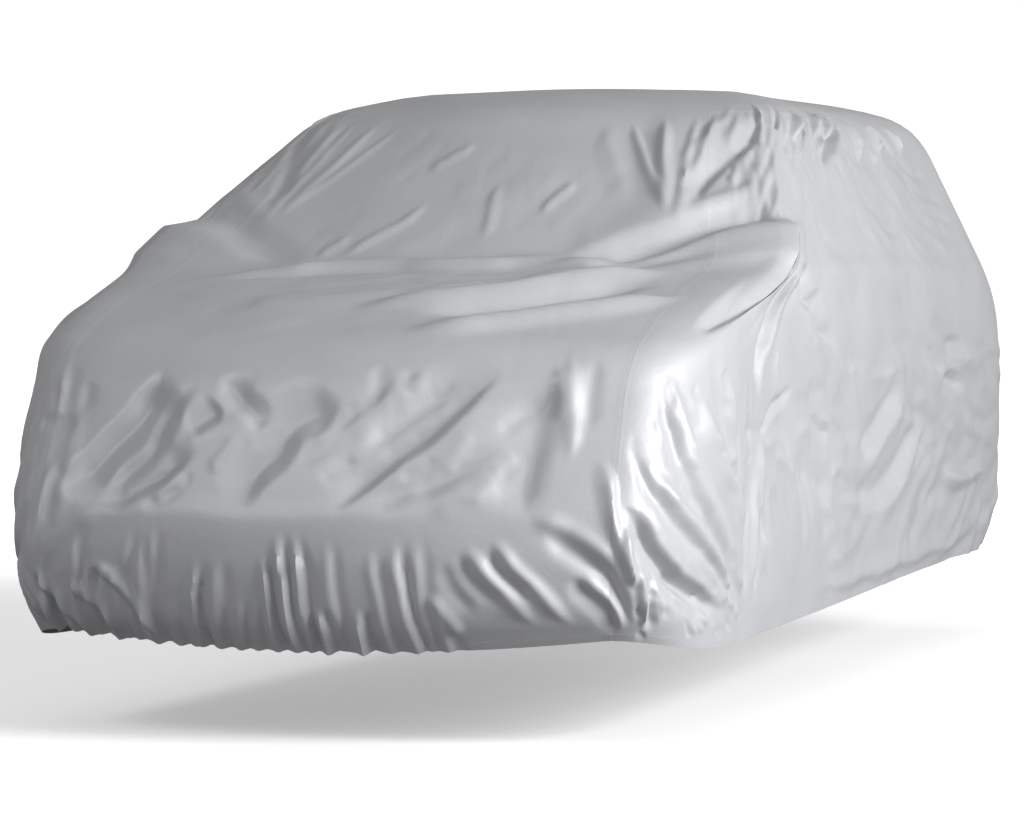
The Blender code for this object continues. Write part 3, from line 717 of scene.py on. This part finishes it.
class ClothShape:
    """The whole cover's outer face: taut cloth with its pouches, folds and gathers."""

    def __init__(self) -> None:
        """Collect the rings and every fold by its zone."""
        self.rings = RINGS
        self.pouch = Pouch()
        self.seams = Seams()
        gathers = Gathers()
        self.folds = {
            Zone.FRONT: [*FRONT_FOLDS, *SCREEN_FOLDS, *gathers.folds(*FRONT_GATHERED, True)],
            Zone.SIDES: [*SIDE_FOLDS, *BACK_GATHERS.folds(*BACK_GATHERED, False)],
            Zone.LEFT: [*CORNER_FOLDS, *LEFT_FOLDS],
            Zone.BONNET: [*BONNET_FOLDS],
        }
        for zone, patches in CRINKLES.items():
            for row in patches:
                given = [metres(cell) if isinstance(cell, tuple) else cell for cell in row]
                self.folds[zone] += Crinkles(*given).folds()

    def taut(self, around: np.ndarray, down: np.ndarray) -> np.ndarray:
        """The smooth form: straight between the rings, rounded over each of them.

        Args:
            around: metres around, signed by the hand.
            down: rings down from the line along the roof.

        Returns:
            Points, last axis x, station, height.
        """
        rings = np.stack([ring.points(around) for ring in self.rings])
        rounding = np.array([ring.rounding for ring in self.rings])
        last = len(self.rings) - 1

        def pick(index: np.ndarray) -> np.ndarray:
            """Points of the numbered ring at every place."""
            index = np.clip(index, 0, last)[None, ..., None]
            return np.take_along_axis(rings, np.broadcast_to(index, (1,) + around.shape + (3,)), axis=0)[0]

        above = np.clip(np.floor(down).astype(int), 0, last - 1)
        top, low = pick(above), pick(above + 1)
        points = top + (low - top) * (down - above)[..., None]
        for middle in (above, above + 1):
            before, here, after = pick(middle - 1), pick(middle), pick(middle + 1)
            up = np.minimum(rounding[middle] / (np.linalg.norm(here - before, axis=-1) + TINY), 0.5)
            lower = np.minimum(rounding[middle] / (np.linalg.norm(after - here, axis=-1) + TINY), 0.5)
            place = down - middle
            inside = (middle > 0) & (middle < last) & (place > -up) & (place < lower)
            t = np.clip((place + up) / np.maximum(up + lower, TINY), 0, 1)[..., None]
            start = here - (here - before) * up[..., None]
            end = here + (after - here) * lower[..., None]
            curve = (1 - t) ** 2 * start + 2 * t * (1 - t) * here + t * t * end
            points = np.where(inside[..., None], curve, points)
        return points

    def outward(self, around: np.ndarray, down: np.ndarray) -> tuple[np.ndarray, np.ndarray]:
        """Which way the smooth form faces.

        Args:
            around: metres around, signed by the hand.
            down: rings down from the line along the roof.

        Returns:
            Unit normals, and the metres of cloth to one ring down.
        """
        du = self.taut(around + NUDGE, down) - self.taut(around - NUDGE, down)
        dv = self.taut(around, down + NUDGE) - self.taut(around, down - NUDGE)
        normal = np.cross(dv, du)
        normal /= np.linalg.norm(normal, axis=-1, keepdims=True) + TINY
        normal[down < 2 * NUDGE] = (0.0, 0.0, 1.0)
        return normal, np.linalg.norm(dv, axis=-1) / (2 * NUDGE)

    def fold_heights(self, zone: Zone, a: np.ndarray, b: np.ndarray) -> np.ndarray:
        """Sum of one zone's folds, strayed a little so that none runs straight.

        Args:
            zone: the zone.
            a: first part of each place, as the zone reads it.
            b: second part.

        Returns:
            Metres outwards at each place.
        """
        stray_a, stray_b = (
            FOLD_WANDER * sum(share * np.sin(per_a * a + per_b * b) for share, per_a, per_b in waves)
            for waves in WANDER_WAVES)
        total = np.zeros_like(a)
        for fold in self.folds[zone]:
            total += fold.heights(a + stray_a, b + stray_b)
        return total

    def seam_heights(self, around: np.ndarray, down: np.ndarray, ring_step: np.ndarray) -> np.ndarray:
        """How far the doubled cloth of the seams and the hem stands up.

        Args:
            around: metres around, signed by the hand.
            down: rings down from the line along the roof.
            ring_step: metres of cloth to one ring down.

        Returns:
            Metres outwards at each place.
        """
        seams = self.seams
        reach = np.abs(around)
        over_side = (reach > SEAM_FRONT - seams.half_width) & (reach < SEAM_BACK + seams.half_width)
        corner = np.minimum(np.abs(reach - SEAM_FRONT), np.abs(reach - SEAM_BACK))
        corner = np.where(down > SEAM_RAIL - seams.above_rail, corner, 1.0)
        rail = np.where(over_side, np.abs(down - SEAM_RAIL) * ring_step, 1.0)
        gap = np.minimum(corner, rail)
        height = seams.rise * np.exp(-(gap / seams.half_width) ** 4)
        height -= seams.groove * np.exp(-(gap / seams.groove_half) ** 2)
        to_hem = (HEM_DOWN - down) * ring_step
        return height + seams.rise * (1 - rise(to_hem, seams.hem_width, seams.hem_width + seams.hem_step))

    def outer(self, around: np.ndarray, down: np.ndarray) -> np.ndarray:
        """Outer face of the finished cloth, in the frame of the solids.

        Args:
            around: metres around, signed by the hand.
            down: rings down from the line along the roof.

        Returns:
            Points, last axis x, y, z.
        """
        points = self.taut(around, down)
        normal, ring_step = self.outward(around, down)
        z = points[..., 2]
        reach = np.abs(around)
        on_wall = rise(down, *WALL_FOLDS_FROM)
        height = self.fold_heights(Zone.FRONT, around, z)
        on_left = around > 0
        height += self.fold_heights(Zone.SIDES, reach, z) * np.where(on_left, 1.0, SIDE_SHARE)
        height += self.fold_heights(Zone.LEFT, reach, z) * np.where(on_left, 1.0, FAR_SHARE)
        height *= on_wall
        on_bonnet = rise(down, *BONNET_FOLDS_FROM) * (1 - rise(down, *BONNET_FOLDS_TO))
        on_bonnet *= 1 - rise(reach, FRONT_END, SIDE_START)
        height += on_bonnet * self.fold_heights(Zone.BONNET, points[..., 0], points[..., 1])
        height += self.seam_heights(around, down, ring_step)
        points = points + normal * height[..., None]
        push = self.pouch.push(around, z) * on_wall
        points[..., 0] += push * self.pouch.way[0] * np.sign(around)
        points[..., 1] += push * self.pouch.way[1]
        return points - np.array([0.0, ORIGIN_STATION, -GROUND])


# ---- finishes --------------------------------------------------------------------------
def add_node(tree: bpy.types.NodeTree, kind: str, settings: dict | None = None,
             inputs: dict | None = None) -> bpy.types.Node:
    """Add a node with its settings and its inputs.

    Args:
        tree: material or geometry node tree.
        kind: Blender's name of the node.
        settings: properties of the node.
        inputs: values or output sockets, by the input's name or number.

    Returns:
        The new node.
    """
    node = tree.nodes.new(kind)
    for name, value in (settings or {}).items():
        setattr(node, name, value)
    for name, value in (inputs or {}).items():
        if isinstance(value, bpy.types.NodeSocket):
            tree.links.new(value, node.inputs[name])
        else:
            node.inputs[name].default_value = value
    return node


@dataclass(frozen=True)
class SilverCoating:
    """Polyester taffeta with a silver polyurethane coating, rolled smooth.

    The aluminium flake in the coating gives a satin metallic sheen: broad soft highlights
    on whatever faces the light, and flanks that go dull grey.

    Attributes:
        name: name of the material.
        colour: silver where the coating is full.
        shade: silver where it is thin.
        metallic: share of the flake that shines as metal.
        sheen: strength of the film's own gloss.
        roughness: where the clouding is least and most.
        patch_mm: size of the clouding.
        crush_mm: size of the small creases left by packing.
        grain_mm: size of the weave, drawn ten times coarser than its thread to show at all.
        crush_depth: how deep the small creases look, metres.
        grain_depth: how deep the weave looks.
    """

    name: str = "silver_coated_taffeta"
    colour: str = "#B9BABC"
    shade: str = "#A9AAAD"
    metallic: float = 0.14
    sheen: float = 0.4
    roughness: tuple[float, float] = (0.45, 0.55)
    patch_mm: float = 260.0
    crush_mm: float = 22.0
    grain_mm: float = 5.0
    crush_depth: float = 0.0006
    grain_depth: float = 0.00012

    def build(self) -> bpy.types.Material:
        """Build the material.

        Returns:
            The new material.
        """
        material = bpy.data.materials.new(self.name)
        material.use_nodes = True
        tree = material.node_tree
        shader = tree.nodes["Principled BSDF"]
        where = add_node(tree, "ShaderNodeTexCoord").outputs["Object"]
        cloud = add_node(tree, "ShaderNodeTexNoise", inputs={
            "Vector": where, "Scale": MM / self.patch_mm, "Detail": 3.0, "Roughness": 0.5})
        tone = add_node(tree, "ShaderNodeMix", {"data_type": "RGBA"}, {
            "Factor": cloud.outputs["Fac"], 6: linear(self.shade), 7: linear(self.colour)})
        tree.links.new(tone.outputs[2], shader.inputs["Base Color"])
        dull = add_node(tree, "ShaderNodeMapRange", inputs={
            "Value": cloud.outputs["Fac"], "To Min": self.roughness[0], "To Max": self.roughness[1]})
        tree.links.new(dull.outputs["Result"], shader.inputs["Roughness"])
        crush = add_node(tree, "ShaderNodeTexNoise", inputs={
            "Vector": where, "Scale": MM / self.crush_mm, "Detail": 2.5, "Roughness": 0.55,
            "Distortion": 0.9})
        weave = add_node(tree, "ShaderNodeTexNoise", inputs={
            "Vector": where, "Scale": MM / self.grain_mm, "Detail": 1.0})
        first = add_node(tree, "ShaderNodeBump", inputs={
            "Strength": 1.0, "Distance": self.crush_depth, "Height": crush.outputs["Fac"]})
        second = add_node(tree, "ShaderNodeBump", inputs={
            "Strength": 1.0, "Distance": self.grain_depth, "Height": weave.outputs["Fac"],
            "Normal": first.outputs["Normal"]})
        tree.links.new(second.outputs["Normal"], shader.inputs["Normal"])
        shader.inputs["Metallic"].default_value = self.metallic
        shader.inputs["Specular IOR Level"].default_value = self.sheen
        return material


@dataclass(frozen=True)
class SpunThread:
    """Bonded polyester sewing thread: pale grey, dull, faintly twisted.

    Attributes:
        name: name of the material.
        colour: its grey.
        roughness: how dull it is.
        twist_mm: size of the twist.
        twist_depth: how deep the twist looks, metres.
    """

    name: str = "grey_polyester_thread"
    colour: str = "#9A9CA0"
    roughness: float = 0.6
    twist_mm: float = 1.2
    twist_depth: float = 0.0002

    def build(self) -> bpy.types.Material:
        """Build the material.

        Returns:
            The new material.
        """
        material = bpy.data.materials.new(self.name)
        material.use_nodes = True
        tree = material.node_tree
        shader = tree.nodes["Principled BSDF"]
        where = add_node(tree, "ShaderNodeTexCoord").outputs["Object"]
        twist = add_node(tree, "ShaderNodeTexNoise", inputs={
            "Vector": where, "Scale": MM / self.twist_mm})
        bump = add_node(tree, "ShaderNodeBump", inputs={
            "Strength": 0.5, "Distance": self.twist_depth, "Height": twist.outputs["Fac"]})
        tree.links.new(bump.outputs["Normal"], shader.inputs["Normal"])
        shader.inputs["Base Color"].default_value = linear(self.colour)
        shader.inputs["Roughness"].default_value = self.roughness
        return material


# ---- panels ----------------------------------------------------------------------------
WALL_RUNS = ((1.9, 1.93, 2), (1.93, 2.0, 2), (2.0, 2.3, 18), (2.3, 3.0, 34), (3.0, 4.0, 32), (4.0, 5.0, 18),
             (5.0, 6.0, 54), (6.0, 7.0, 26), (7.0, 7.75, 12), (7.75, 8.0, 5))
SIDE_RUNS = ((SEAM_FRONT, 0.806, 4), (0.806, 1.30, 60), (1.30, 1.75, 38), (1.75, 2.70, 48),
             (2.70, 5.08, 60), (5.08, 5.434, 14), (5.434, SEAM_BACK, 4))
FRONT_RUNS = ((0.0, 0.774, 76), (0.774, SEAM_FRONT, 4))
BACK_RUNS = ((SEAM_BACK, 5.466, 4), (5.466, BACK_MID, 18))
CAP_RUNS = ((0.0, 1.0, 3), (1.0, 1.6, 3), (1.6, 1.87, 3), (1.87, SEAM_RAIL, 2))
MERGE = 1e-6              # points closer than this are one
RIM_ANGLE = math.radians(50)       # edges turned by more than this, such as a cut rim, are sharp


def sheet_from_grid(name: str, around: np.ndarray, down: np.ndarray, keep: np.ndarray, shape: ClothShape,
                    material: bpy.types.Material) -> bpy.types.Object:
    """Make one closed thin sheet from a grid of places on the cloth.

    Args:
        name: name of the piece.
        around: grid of metres around, rows downward.
        down: grid of rings down.
        keep: which of the grid's faces belong to the panel.
        shape: the cloth's shape.
        material: its finish.

    Returns:
        The panel, with a UV map in metres of cloth.
    """
    points = shape.outer(around, down)
    rows, columns = around.shape
    corner = np.arange(rows * columns).reshape(rows, columns)
    quads = np.stack([corner[:-1, :-1], corner[1:, :-1], corner[1:, 1:], corner[:-1, 1:]], axis=-1)[keep]
    fall = np.linalg.norm(np.diff(points, axis=0), axis=-1)
    length = np.concatenate([np.zeros((1, columns)), np.cumsum(fall, axis=0)])
    places = np.stack([around, -length], axis=-1).reshape(-1, 2)
    mesh = bpy.data.meshes.new(name)
    mesh.from_pydata(points.reshape(-1, 3).tolist(), [], quads.tolist())
    layer = mesh.uv_layers.new(name="cloth_metres")
    layer.data.foreach_set("uv", places[quads.reshape(-1)].astype(np.float32).reshape(-1))
    work = bmesh.new()
    work.from_mesh(mesh)
    bmesh.ops.delete(work, geom=[v for v in work.verts if not v.link_faces], context="VERTS")
    bmesh.ops.remove_doubles(work, verts=work.verts, dist=MERGE)
    work.to_mesh(mesh)
    work.free()
    mesh.materials.append(material)
    mesh.shade_smooth()
    panel = bpy.data.objects.new(name, mesh)
    bpy.context.scene.collection.objects.link(panel)
    solid = panel.modifiers.new("thickness", "SOLIDIFY")
    solid.thickness = CLOTH
    solid.offset = -1.0
    return make_plain(panel)


def make_plain(piece: bpy.types.Object) -> bpy.types.Object:
    """Turn a piece's modifiers into a plain mesh.

    Args:
        piece: the piece.

    Returns:
        The same piece.
    """
    evaluated = piece.evaluated_get(bpy.context.evaluated_depsgraph_get())
    mesh = bpy.data.meshes.new_from_object(evaluated)
    piece.modifiers.clear()
    piece.data = mesh
    mesh.set_sharp_from_angle(angle=RIM_ANGLE)
    return piece


def finish_piece(piece: bpy.types.Object) -> bpy.types.Object:
    """Fasten a piece to the body and log how many faces it has.

    Args:
        piece: the piece.

    Returns:
        The same piece.
    """
    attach(piece, BODY)
    LOG.info("%s: %d faces", piece.name, len(piece.data.polygons))
    return piece


@dataclass
class SidePanel:
    """Panel that hangs on one hand between the corner seams and below the rail seam.

    Attributes:
        hand: which side of the cover.
        flat: width and length that the cloth was cut from, metres.
        area: flat area of the cut, square metres.
    """

    hand: Hand
    flat: tuple[float, float] = (5.05, 1.62)
    area: float = 6.9

    @property
    def node(self) -> str:
        """Name of the solid that it stands for."""
        return f"side_panel_{self.hand.name.lower()}"

    def build(self, shape: ClothShape, finish: SilverCoating) -> bpy.types.Object:
        """Build the panel and put it in the place of its solid.

        Args:
            shape: the cloth's shape.
            finish: its coating.

        Returns:
            The panel.
        """
        around = spread(SIDE_RUNS)
        down = spread(WALL_RUNS)
        around[0] += SEAM_GAP / 2
        around[-1] -= SEAM_GAP / 2
        down[0] += SEAM_GAP
        if self.hand is Hand.RIGHT:
            around = -around[::-1]
        grid_down, grid_around = np.meshgrid(down, around, indexing="ij")
        keep = np.ones((len(down) - 1, len(around) - 1), dtype=bool)
        panel = sheet_from_grid(f"cloth_{self.node}", grid_around, grid_down, keep, shape, finish.build())
        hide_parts(self.node)
        return finish_piece(panel)


@dataclass
class TopPanel:
    """Front, bonnet, screen, roof and back in one length of cloth.

    Attributes:
        flat: width and length that the cloth was cut from, metres.
        area: flat area of the cut, square metres.
        node: name of the solid that it stands for.
    """

    flat: tuple[float, float] = (1.90, 7.40)
    area: float = 11.6
    node: str = "top_panel"

    def build(self, shape: ClothShape, finish: SilverCoating) -> bpy.types.Object:
        """Build the panel and put it in the place of its solid.

        Args:
            shape: the cloth's shape.
            finish: its coating.

        Returns:
            The panel.
        """
        half = np.concatenate([spread(FRONT_RUNS), spread(SIDE_RUNS)[1:], spread(BACK_RUNS)[1:]])
        around = np.concatenate([-half[:0:-1], half])
        down = np.concatenate([spread(CAP_RUNS), spread(WALL_RUNS)[1:]])
        grid_down, grid_around = np.meshgrid(down, around, indexing="ij")
        reach, hand = np.abs(grid_around), np.sign(grid_around)
        middle = 0.5 * (np.abs(around[1:]) + np.abs(around[:-1]))
        over_side = (middle > SEAM_FRONT) & (middle < SEAM_BACK)
        keep = ~((down[:-1, None] >= SEAM_RAIL) & over_side[None, :])
        below = grid_down >= SEAM_RAIL
        grid_around = grid_around + hand * SEAM_GAP / 2 * (below & (reach == SEAM_BACK))
        grid_around = grid_around - hand * SEAM_GAP / 2 * (below & (reach == SEAM_FRONT))
        along_rail = (reach >= SEAM_FRONT) & (reach <= SEAM_BACK) & (grid_down == SEAM_RAIL)
        grid_down = grid_down - SEAM_GAP * along_rail
        panel = sheet_from_grid(f"cloth_{self.node}", grid_around, grid_down, keep, shape, finish.build())
        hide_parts(self.node)
        return finish_piece(panel)


# ---- stitching -------------------------------------------------------------------------
@dataclass
class StitchRow:
    """Rows of lockstitch, laid along the seams and the hem by a geometry node tree.

    Attributes:
        pitch: from one stitch to the next, metres. Twice a real one, to show at all.
        length: length of a stitch.
        thread: radius of the thread.
        stand: how far it stands off the cloth.
    """

    pitch: float = 0.008
    length: float = 0.0054
    thread: float = 0.0006
    stand: float = 0.0002

    def paths(self, shape: ClothShape, lines: list[tuple[np.ndarray, np.ndarray]]) -> bpy.types.Mesh:
        """Edges along the rows, on the face of the cloth.

        Args:
            shape: the cloth's shape.
            lines: places (around, down) that each row runs through.

        Returns:
            A mesh of edges alone.
        """
        points, edges = [], []
        for around, down in lines:
            line = shape.outer(around, down)
            first = len(points)
            points += line.tolist()
            edges += [(first + i, first + i + 1) for i in range(len(line) - 1)]
        mesh = bpy.data.meshes.new("stitch_lines")
        mesh.from_pydata(points, edges, [])
        return mesh

    def tree(self) -> bpy.types.NodeTree:
        """Node tree that sets a stitch at each step of every row.

        Returns:
            The new tree.
        """
        tree = bpy.data.node_groups.new("lockstitch", "GeometryNodeTree")
        face = tree.interface
        face.new_socket("Geometry", in_out="INPUT", socket_type="NodeSocketGeometry")
        for name in ("Pitch", "Stitch Length", "Thread Radius"):
            face.new_socket(name, in_out="INPUT", socket_type="NodeSocketFloat")
        face.new_socket("Thread", in_out="INPUT", socket_type="NodeSocketMaterial")
        face.new_socket("Geometry", in_out="OUTPUT", socket_type="NodeSocketGeometry")
        given = add_node(tree, "NodeGroupInput").outputs
        line = add_node(tree, "GeometryNodeMeshToCurve", inputs={"Mesh": given["Geometry"]})
        steps = add_node(tree, "GeometryNodeCurveToPoints", {"mode": "LENGTH"}, {
            "Curve": line.outputs["Curve"], "Length": given["Pitch"]})
        bead = add_node(tree, "GeometryNodeMeshUVSphere", inputs={"Segments": 6, "Rings": 4, "Radius": 1.0})
        half = add_node(tree, "ShaderNodeMath", {"operation": "MULTIPLY"}, {
            0: given["Stitch Length"], 1: 0.5})
        size = add_node(tree, "ShaderNodeCombineXYZ", inputs={
            "X": given["Thread Radius"], "Y": given["Thread Radius"], "Z": half.outputs[0]})
        laid = add_node(tree, "GeometryNodeInstanceOnPoints", inputs={
            "Points": steps.outputs["Points"], "Instance": bead.outputs["Mesh"],
            "Rotation": steps.outputs["Rotation"], "Scale": size.outputs["Vector"]})
        real = add_node(tree, "GeometryNodeRealizeInstances", inputs={
            "Geometry": laid.outputs["Instances"]})
        smooth = add_node(tree, "GeometryNodeSetShadeSmooth", inputs={"Geometry": real.outputs["Geometry"]})
        dressed = add_node(tree, "GeometryNodeSetMaterial", inputs={
            "Geometry": smooth.outputs["Geometry"], "Material": given["Thread"]})
        out = add_node(tree, "NodeGroupOutput")
        tree.links.new(dressed.outputs["Geometry"], out.inputs["Geometry"])
        return tree

    def build(self, name: str, shape: ClothShape, lines: list[tuple[np.ndarray, np.ndarray]],
              thread: bpy.types.Material, slot: str) -> bpy.types.Object:
        """Build one piece of stitching.

        Args:
            name: name of the piece.
            shape: the cloth's shape.
            lines: places (around, down) that each row runs through.
            thread: finish of the thread.
            slot: slot of the panel that it is sewn to; not used.

        Returns:
            The stitches as one plain mesh.
        """
        piece = bpy.data.objects.new(name, self.paths(shape, lines))
        bpy.context.scene.collection.objects.link(piece)
        modifier = piece.modifiers.new("lockstitch", "NODES")
        modifier.node_group = self.tree()
        values = {"Pitch": self.pitch, "Stitch Length": self.length, "Thread Radius": self.thread,
                  "Thread": thread}
        for socket in modifier.node_group.interface.items_tree:
            if socket.in_out == "INPUT" and socket.name in values:
                modifier[socket.identifier] = values[socket.name]
        return finish_piece(make_plain(piece))


@dataclass
class Stitching:
    """All the seams' and the hem's rows of stitches.

    Attributes:
        rows: the kind of row.
        line_steps: places along one corner seam.
        end_gap: how far from its ends the row stops, in rings.
    """

    rows: StitchRow
    line_steps: int = 260
    end_gap: float = 0.02

    def seam_lines(self, hand: Hand, offset: float) -> list[tuple[np.ndarray, np.ndarray]]:
        """Rows beside the two corner seams and the rail seam of one hand.

        Args:
            hand: which side of the cover.
            offset: metres from the seam.

        Returns:
            Places (around, down) that each row runs through.
        """
        sign = hand.value
        down = np.linspace(SEAM_RAIL + self.end_gap, HEM_DOWN - self.end_gap, self.line_steps)
        along = np.linspace(SEAM_FRONT, SEAM_BACK, 2 * self.line_steps)
        return [
            (np.full_like(down, sign * (SEAM_FRONT + offset)), down),
            (np.full_like(down, sign * (SEAM_BACK - offset)), down),
            (sign * along, np.full_like(along, SEAM_RAIL + offset / RAIL_STEP)),
        ]

    def build(self, shape: ClothShape, thread: bpy.types.Material) -> None:
        """Build the stitches of both hands' seams and of the hem.

        Args:
            shape: the cloth's shape.
            thread: finish of the thread.
        """
        offset = shape.seams.stitch_offset
        for hand in Hand:
            name = hand.name.lower()
            lines = self.seam_lines(hand, offset)
            self.rows.build(f"stitches_seam_{name}", shape, lines, thread, f"silver_{name}")
        whole = np.linspace(-BACK_MID, BACK_MID, 5 * self.line_steps)
        level = np.full_like(whole, HEM_DOWN - shape.seams.hem_width / HEM_STEP)
        self.rows.build("stitches_hem", shape, [(whole, level)], thread, "silver_top")


RAIL_STEP = 0.48          # metres of cloth from one ring to the next at the rail
HEM_STEP = 0.13           # the same at the hem


# ---- the studio ------------------------------------------------------------------------
WHITE = (1.0, 1.0, 1.0, 1.0)


@dataclass(frozen=True)
class Lamp:
    """A soft rectangular lamp, aimed at a point.

    Attributes:
        name: name of the lamp.
        place: where it hangs.
        aim: the point that it faces.
        size: its two sides, metres.
        watts: its power.
    """

    name: str
    place: tuple[float, float, float]
    aim: tuple[float, float, float]
    size: tuple[float, float]
    watts: float

    def build(self) -> None:
        """Hang the lamp."""
        light = bpy.data.lights.new(self.name, "AREA")
        light.shape = "RECTANGLE"
        light.size, light.size_y = self.size
        light.energy = self.watts
        lamp = bpy.data.objects.new(self.name, light)
        bpy.context.scene.collection.objects.link(lamp)
        lamp.location = self.place
        lamp.visible_camera = False
        way = Vector(self.aim) - Vector(self.place)
        lamp.rotation_euler = way.to_track_quat("-Z", "Y").to_euler()


@dataclass(frozen=True)
class Studio:
    """Pale floor, soft lamps and the camera at the picture's angle.

    Attributes:
        lens: focal length, millimetres.
        sensor: width of the sensor, millimetres.
        eye: where the camera stands.
        yaw: how far it looks to the left of straight ahead, degrees.
        pitch: how far up, degrees.
        floor_half: half width of the floor.
        floor_colour: the floor as seen.
        floor_roughness: how matt it is.
        floor_thrown: the floor as it lights the cloth.
        floor_glow: its glow near the cover and far from it.
        floor_reach: where the glow starts and ends to change, metres from the middle.
        sky: strength of the pale room's light.
        backdrop: strength of the room as seen.
        lamps: the lamps.
    """

    lens: float = 154.72
    sensor: float = 36.0
    eye: tuple[float, float, float] = (3.73, -14.05, -0.6725)
    yaw: float = 16.4
    pitch: float = -1.40
    floor_half: float = 60.0
    floor_colour: str = "#F4F4F4"
    floor_roughness: float = 0.9
    floor_thrown: str = "#9A9A9C"
    floor_glow: tuple[float, float] = (0.35, 1.1)
    floor_reach: tuple[float, float] = (3.5, 9.0)
    sky: float = 0.28
    backdrop: float = 1.1
    lamps: tuple[Lamp, ...] = (
        Lamp("key", (10.0, -4.8, 2.2), (0.8, -1.2, -0.9), (6.0, 4.5), 1740.0),
        Lamp("fill", (-5.5, -11.0, 6.0), (-0.6, -3.0, -1.1), (4.0, 4.0), 360.0),
        Lamp("back", (-3.0, 11.0, -0.5), (0.0, 1.6, -0.9), (5.0, 1.6), 380.0),
    )

    def camera(self) -> None:
        """Set the camera."""
        data = bpy.data.cameras.new("picture_camera")
        data.lens = self.lens
        data.sensor_width = self.sensor
        camera = bpy.data.objects.new("picture_camera", data)
        bpy.context.scene.collection.objects.link(camera)
        camera.location = self.eye
        camera.rotation_euler = (math.radians(90 + self.pitch), 0.0, math.radians(self.yaw))
        bpy.context.scene.camera = camera

    def paper(self) -> bpy.types.Material:
        """Matt paper of the floor: seen pale, but throwing little light back up.

        Returns:
            The new material.
        """
        material = bpy.data.materials.new("matt_paper")
        material.use_nodes = True
        tree = material.node_tree
        seen = tree.nodes["Principled BSDF"]
        seen.inputs["Base Color"].default_value = linear(self.floor_colour)
        seen.inputs["Roughness"].default_value = self.floor_roughness
        seen.inputs["Emission Color"].default_value = WHITE
        where = add_node(tree, "ShaderNodeTexCoord").outputs["Object"]
        far = add_node(tree, "ShaderNodeVectorMath", {"operation": "LENGTH"}, {0: where})
        glow = add_node(tree, "ShaderNodeMapRange", {"interpolation_type": "SMOOTHSTEP"}, {
            "Value": far.outputs["Value"], "From Min": self.floor_reach[0], "From Max": self.floor_reach[1],
            "To Min": self.floor_glow[0], "To Max": self.floor_glow[1]})
        tree.links.new(glow.outputs["Result"], seen.inputs["Emission Strength"])
        thrown = add_node(tree, "ShaderNodeBsdfDiffuse", inputs={"Color": linear(self.floor_thrown)})
        straight = add_node(tree, "ShaderNodeLightPath")
        mix = add_node(tree, "ShaderNodeMixShader", inputs={
            0: straight.outputs["Is Camera Ray"], 1: thrown.outputs["BSDF"], 2: seen.outputs["BSDF"]})
        tree.links.new(mix.outputs["Shader"], tree.nodes["Material Output"].inputs["Surface"])
        return material

    def floor(self) -> None:
        """Lay the floor."""
        half = self.floor_half
        mesh = bpy.data.meshes.new("floor")
        corners = [(x * half, y * half, GROUND) for x, y in ((-1, -1), (1, -1), (1, 1), (-1, 1))]
        mesh.from_pydata(corners, [], [(0, 1, 2, 3)])
        mesh.materials.append(self.paper())
        floor = bpy.data.objects.new("floor", mesh)
        bpy.context.scene.collection.objects.link(floor)

    def light(self) -> None:
        """Light the studio: a pale room and its lamps."""
        world = bpy.data.worlds.new("pale_room")
        world.use_nodes = True
        tree = world.node_tree
        room = tree.nodes["Background"]
        room.inputs["Strength"].default_value = self.sky
        seen = add_node(tree, "ShaderNodeBackground", inputs={"Color": WHITE, "Strength": self.backdrop})
        room.inputs["Color"].default_value = WHITE
        straight = add_node(tree, "ShaderNodeLightPath")
        mix = add_node(tree, "ShaderNodeMixShader", inputs={
            0: straight.outputs["Is Camera Ray"], 1: room.outputs["Background"],
            2: seen.outputs["Background"]})
        tree.links.new(mix.outputs["Shader"], tree.nodes["World Output"].inputs["Surface"])
        bpy.context.scene.world = world
        for lamp in self.lamps:
            lamp.build()

    def build(self) -> None:
        """Set up the whole studio."""
        self.camera()
        self.floor()
        self.light()
        bpy.context.scene.view_settings.view_transform = "Standard"


def main() -> None:
    """Build the studio, the three panels and their stitching."""
    logging.basicConfig(level=logging.INFO)
    Studio().build()
    shape = ClothShape()
    finish = SilverCoating()
    TopPanel().build(shape, finish)
    for hand in Hand:
        SidePanel(hand).build(shape, finish)
    Stitching(StitchRow()).build(shape, SpunThread().build())


if __name__ == "__main__":
    main()
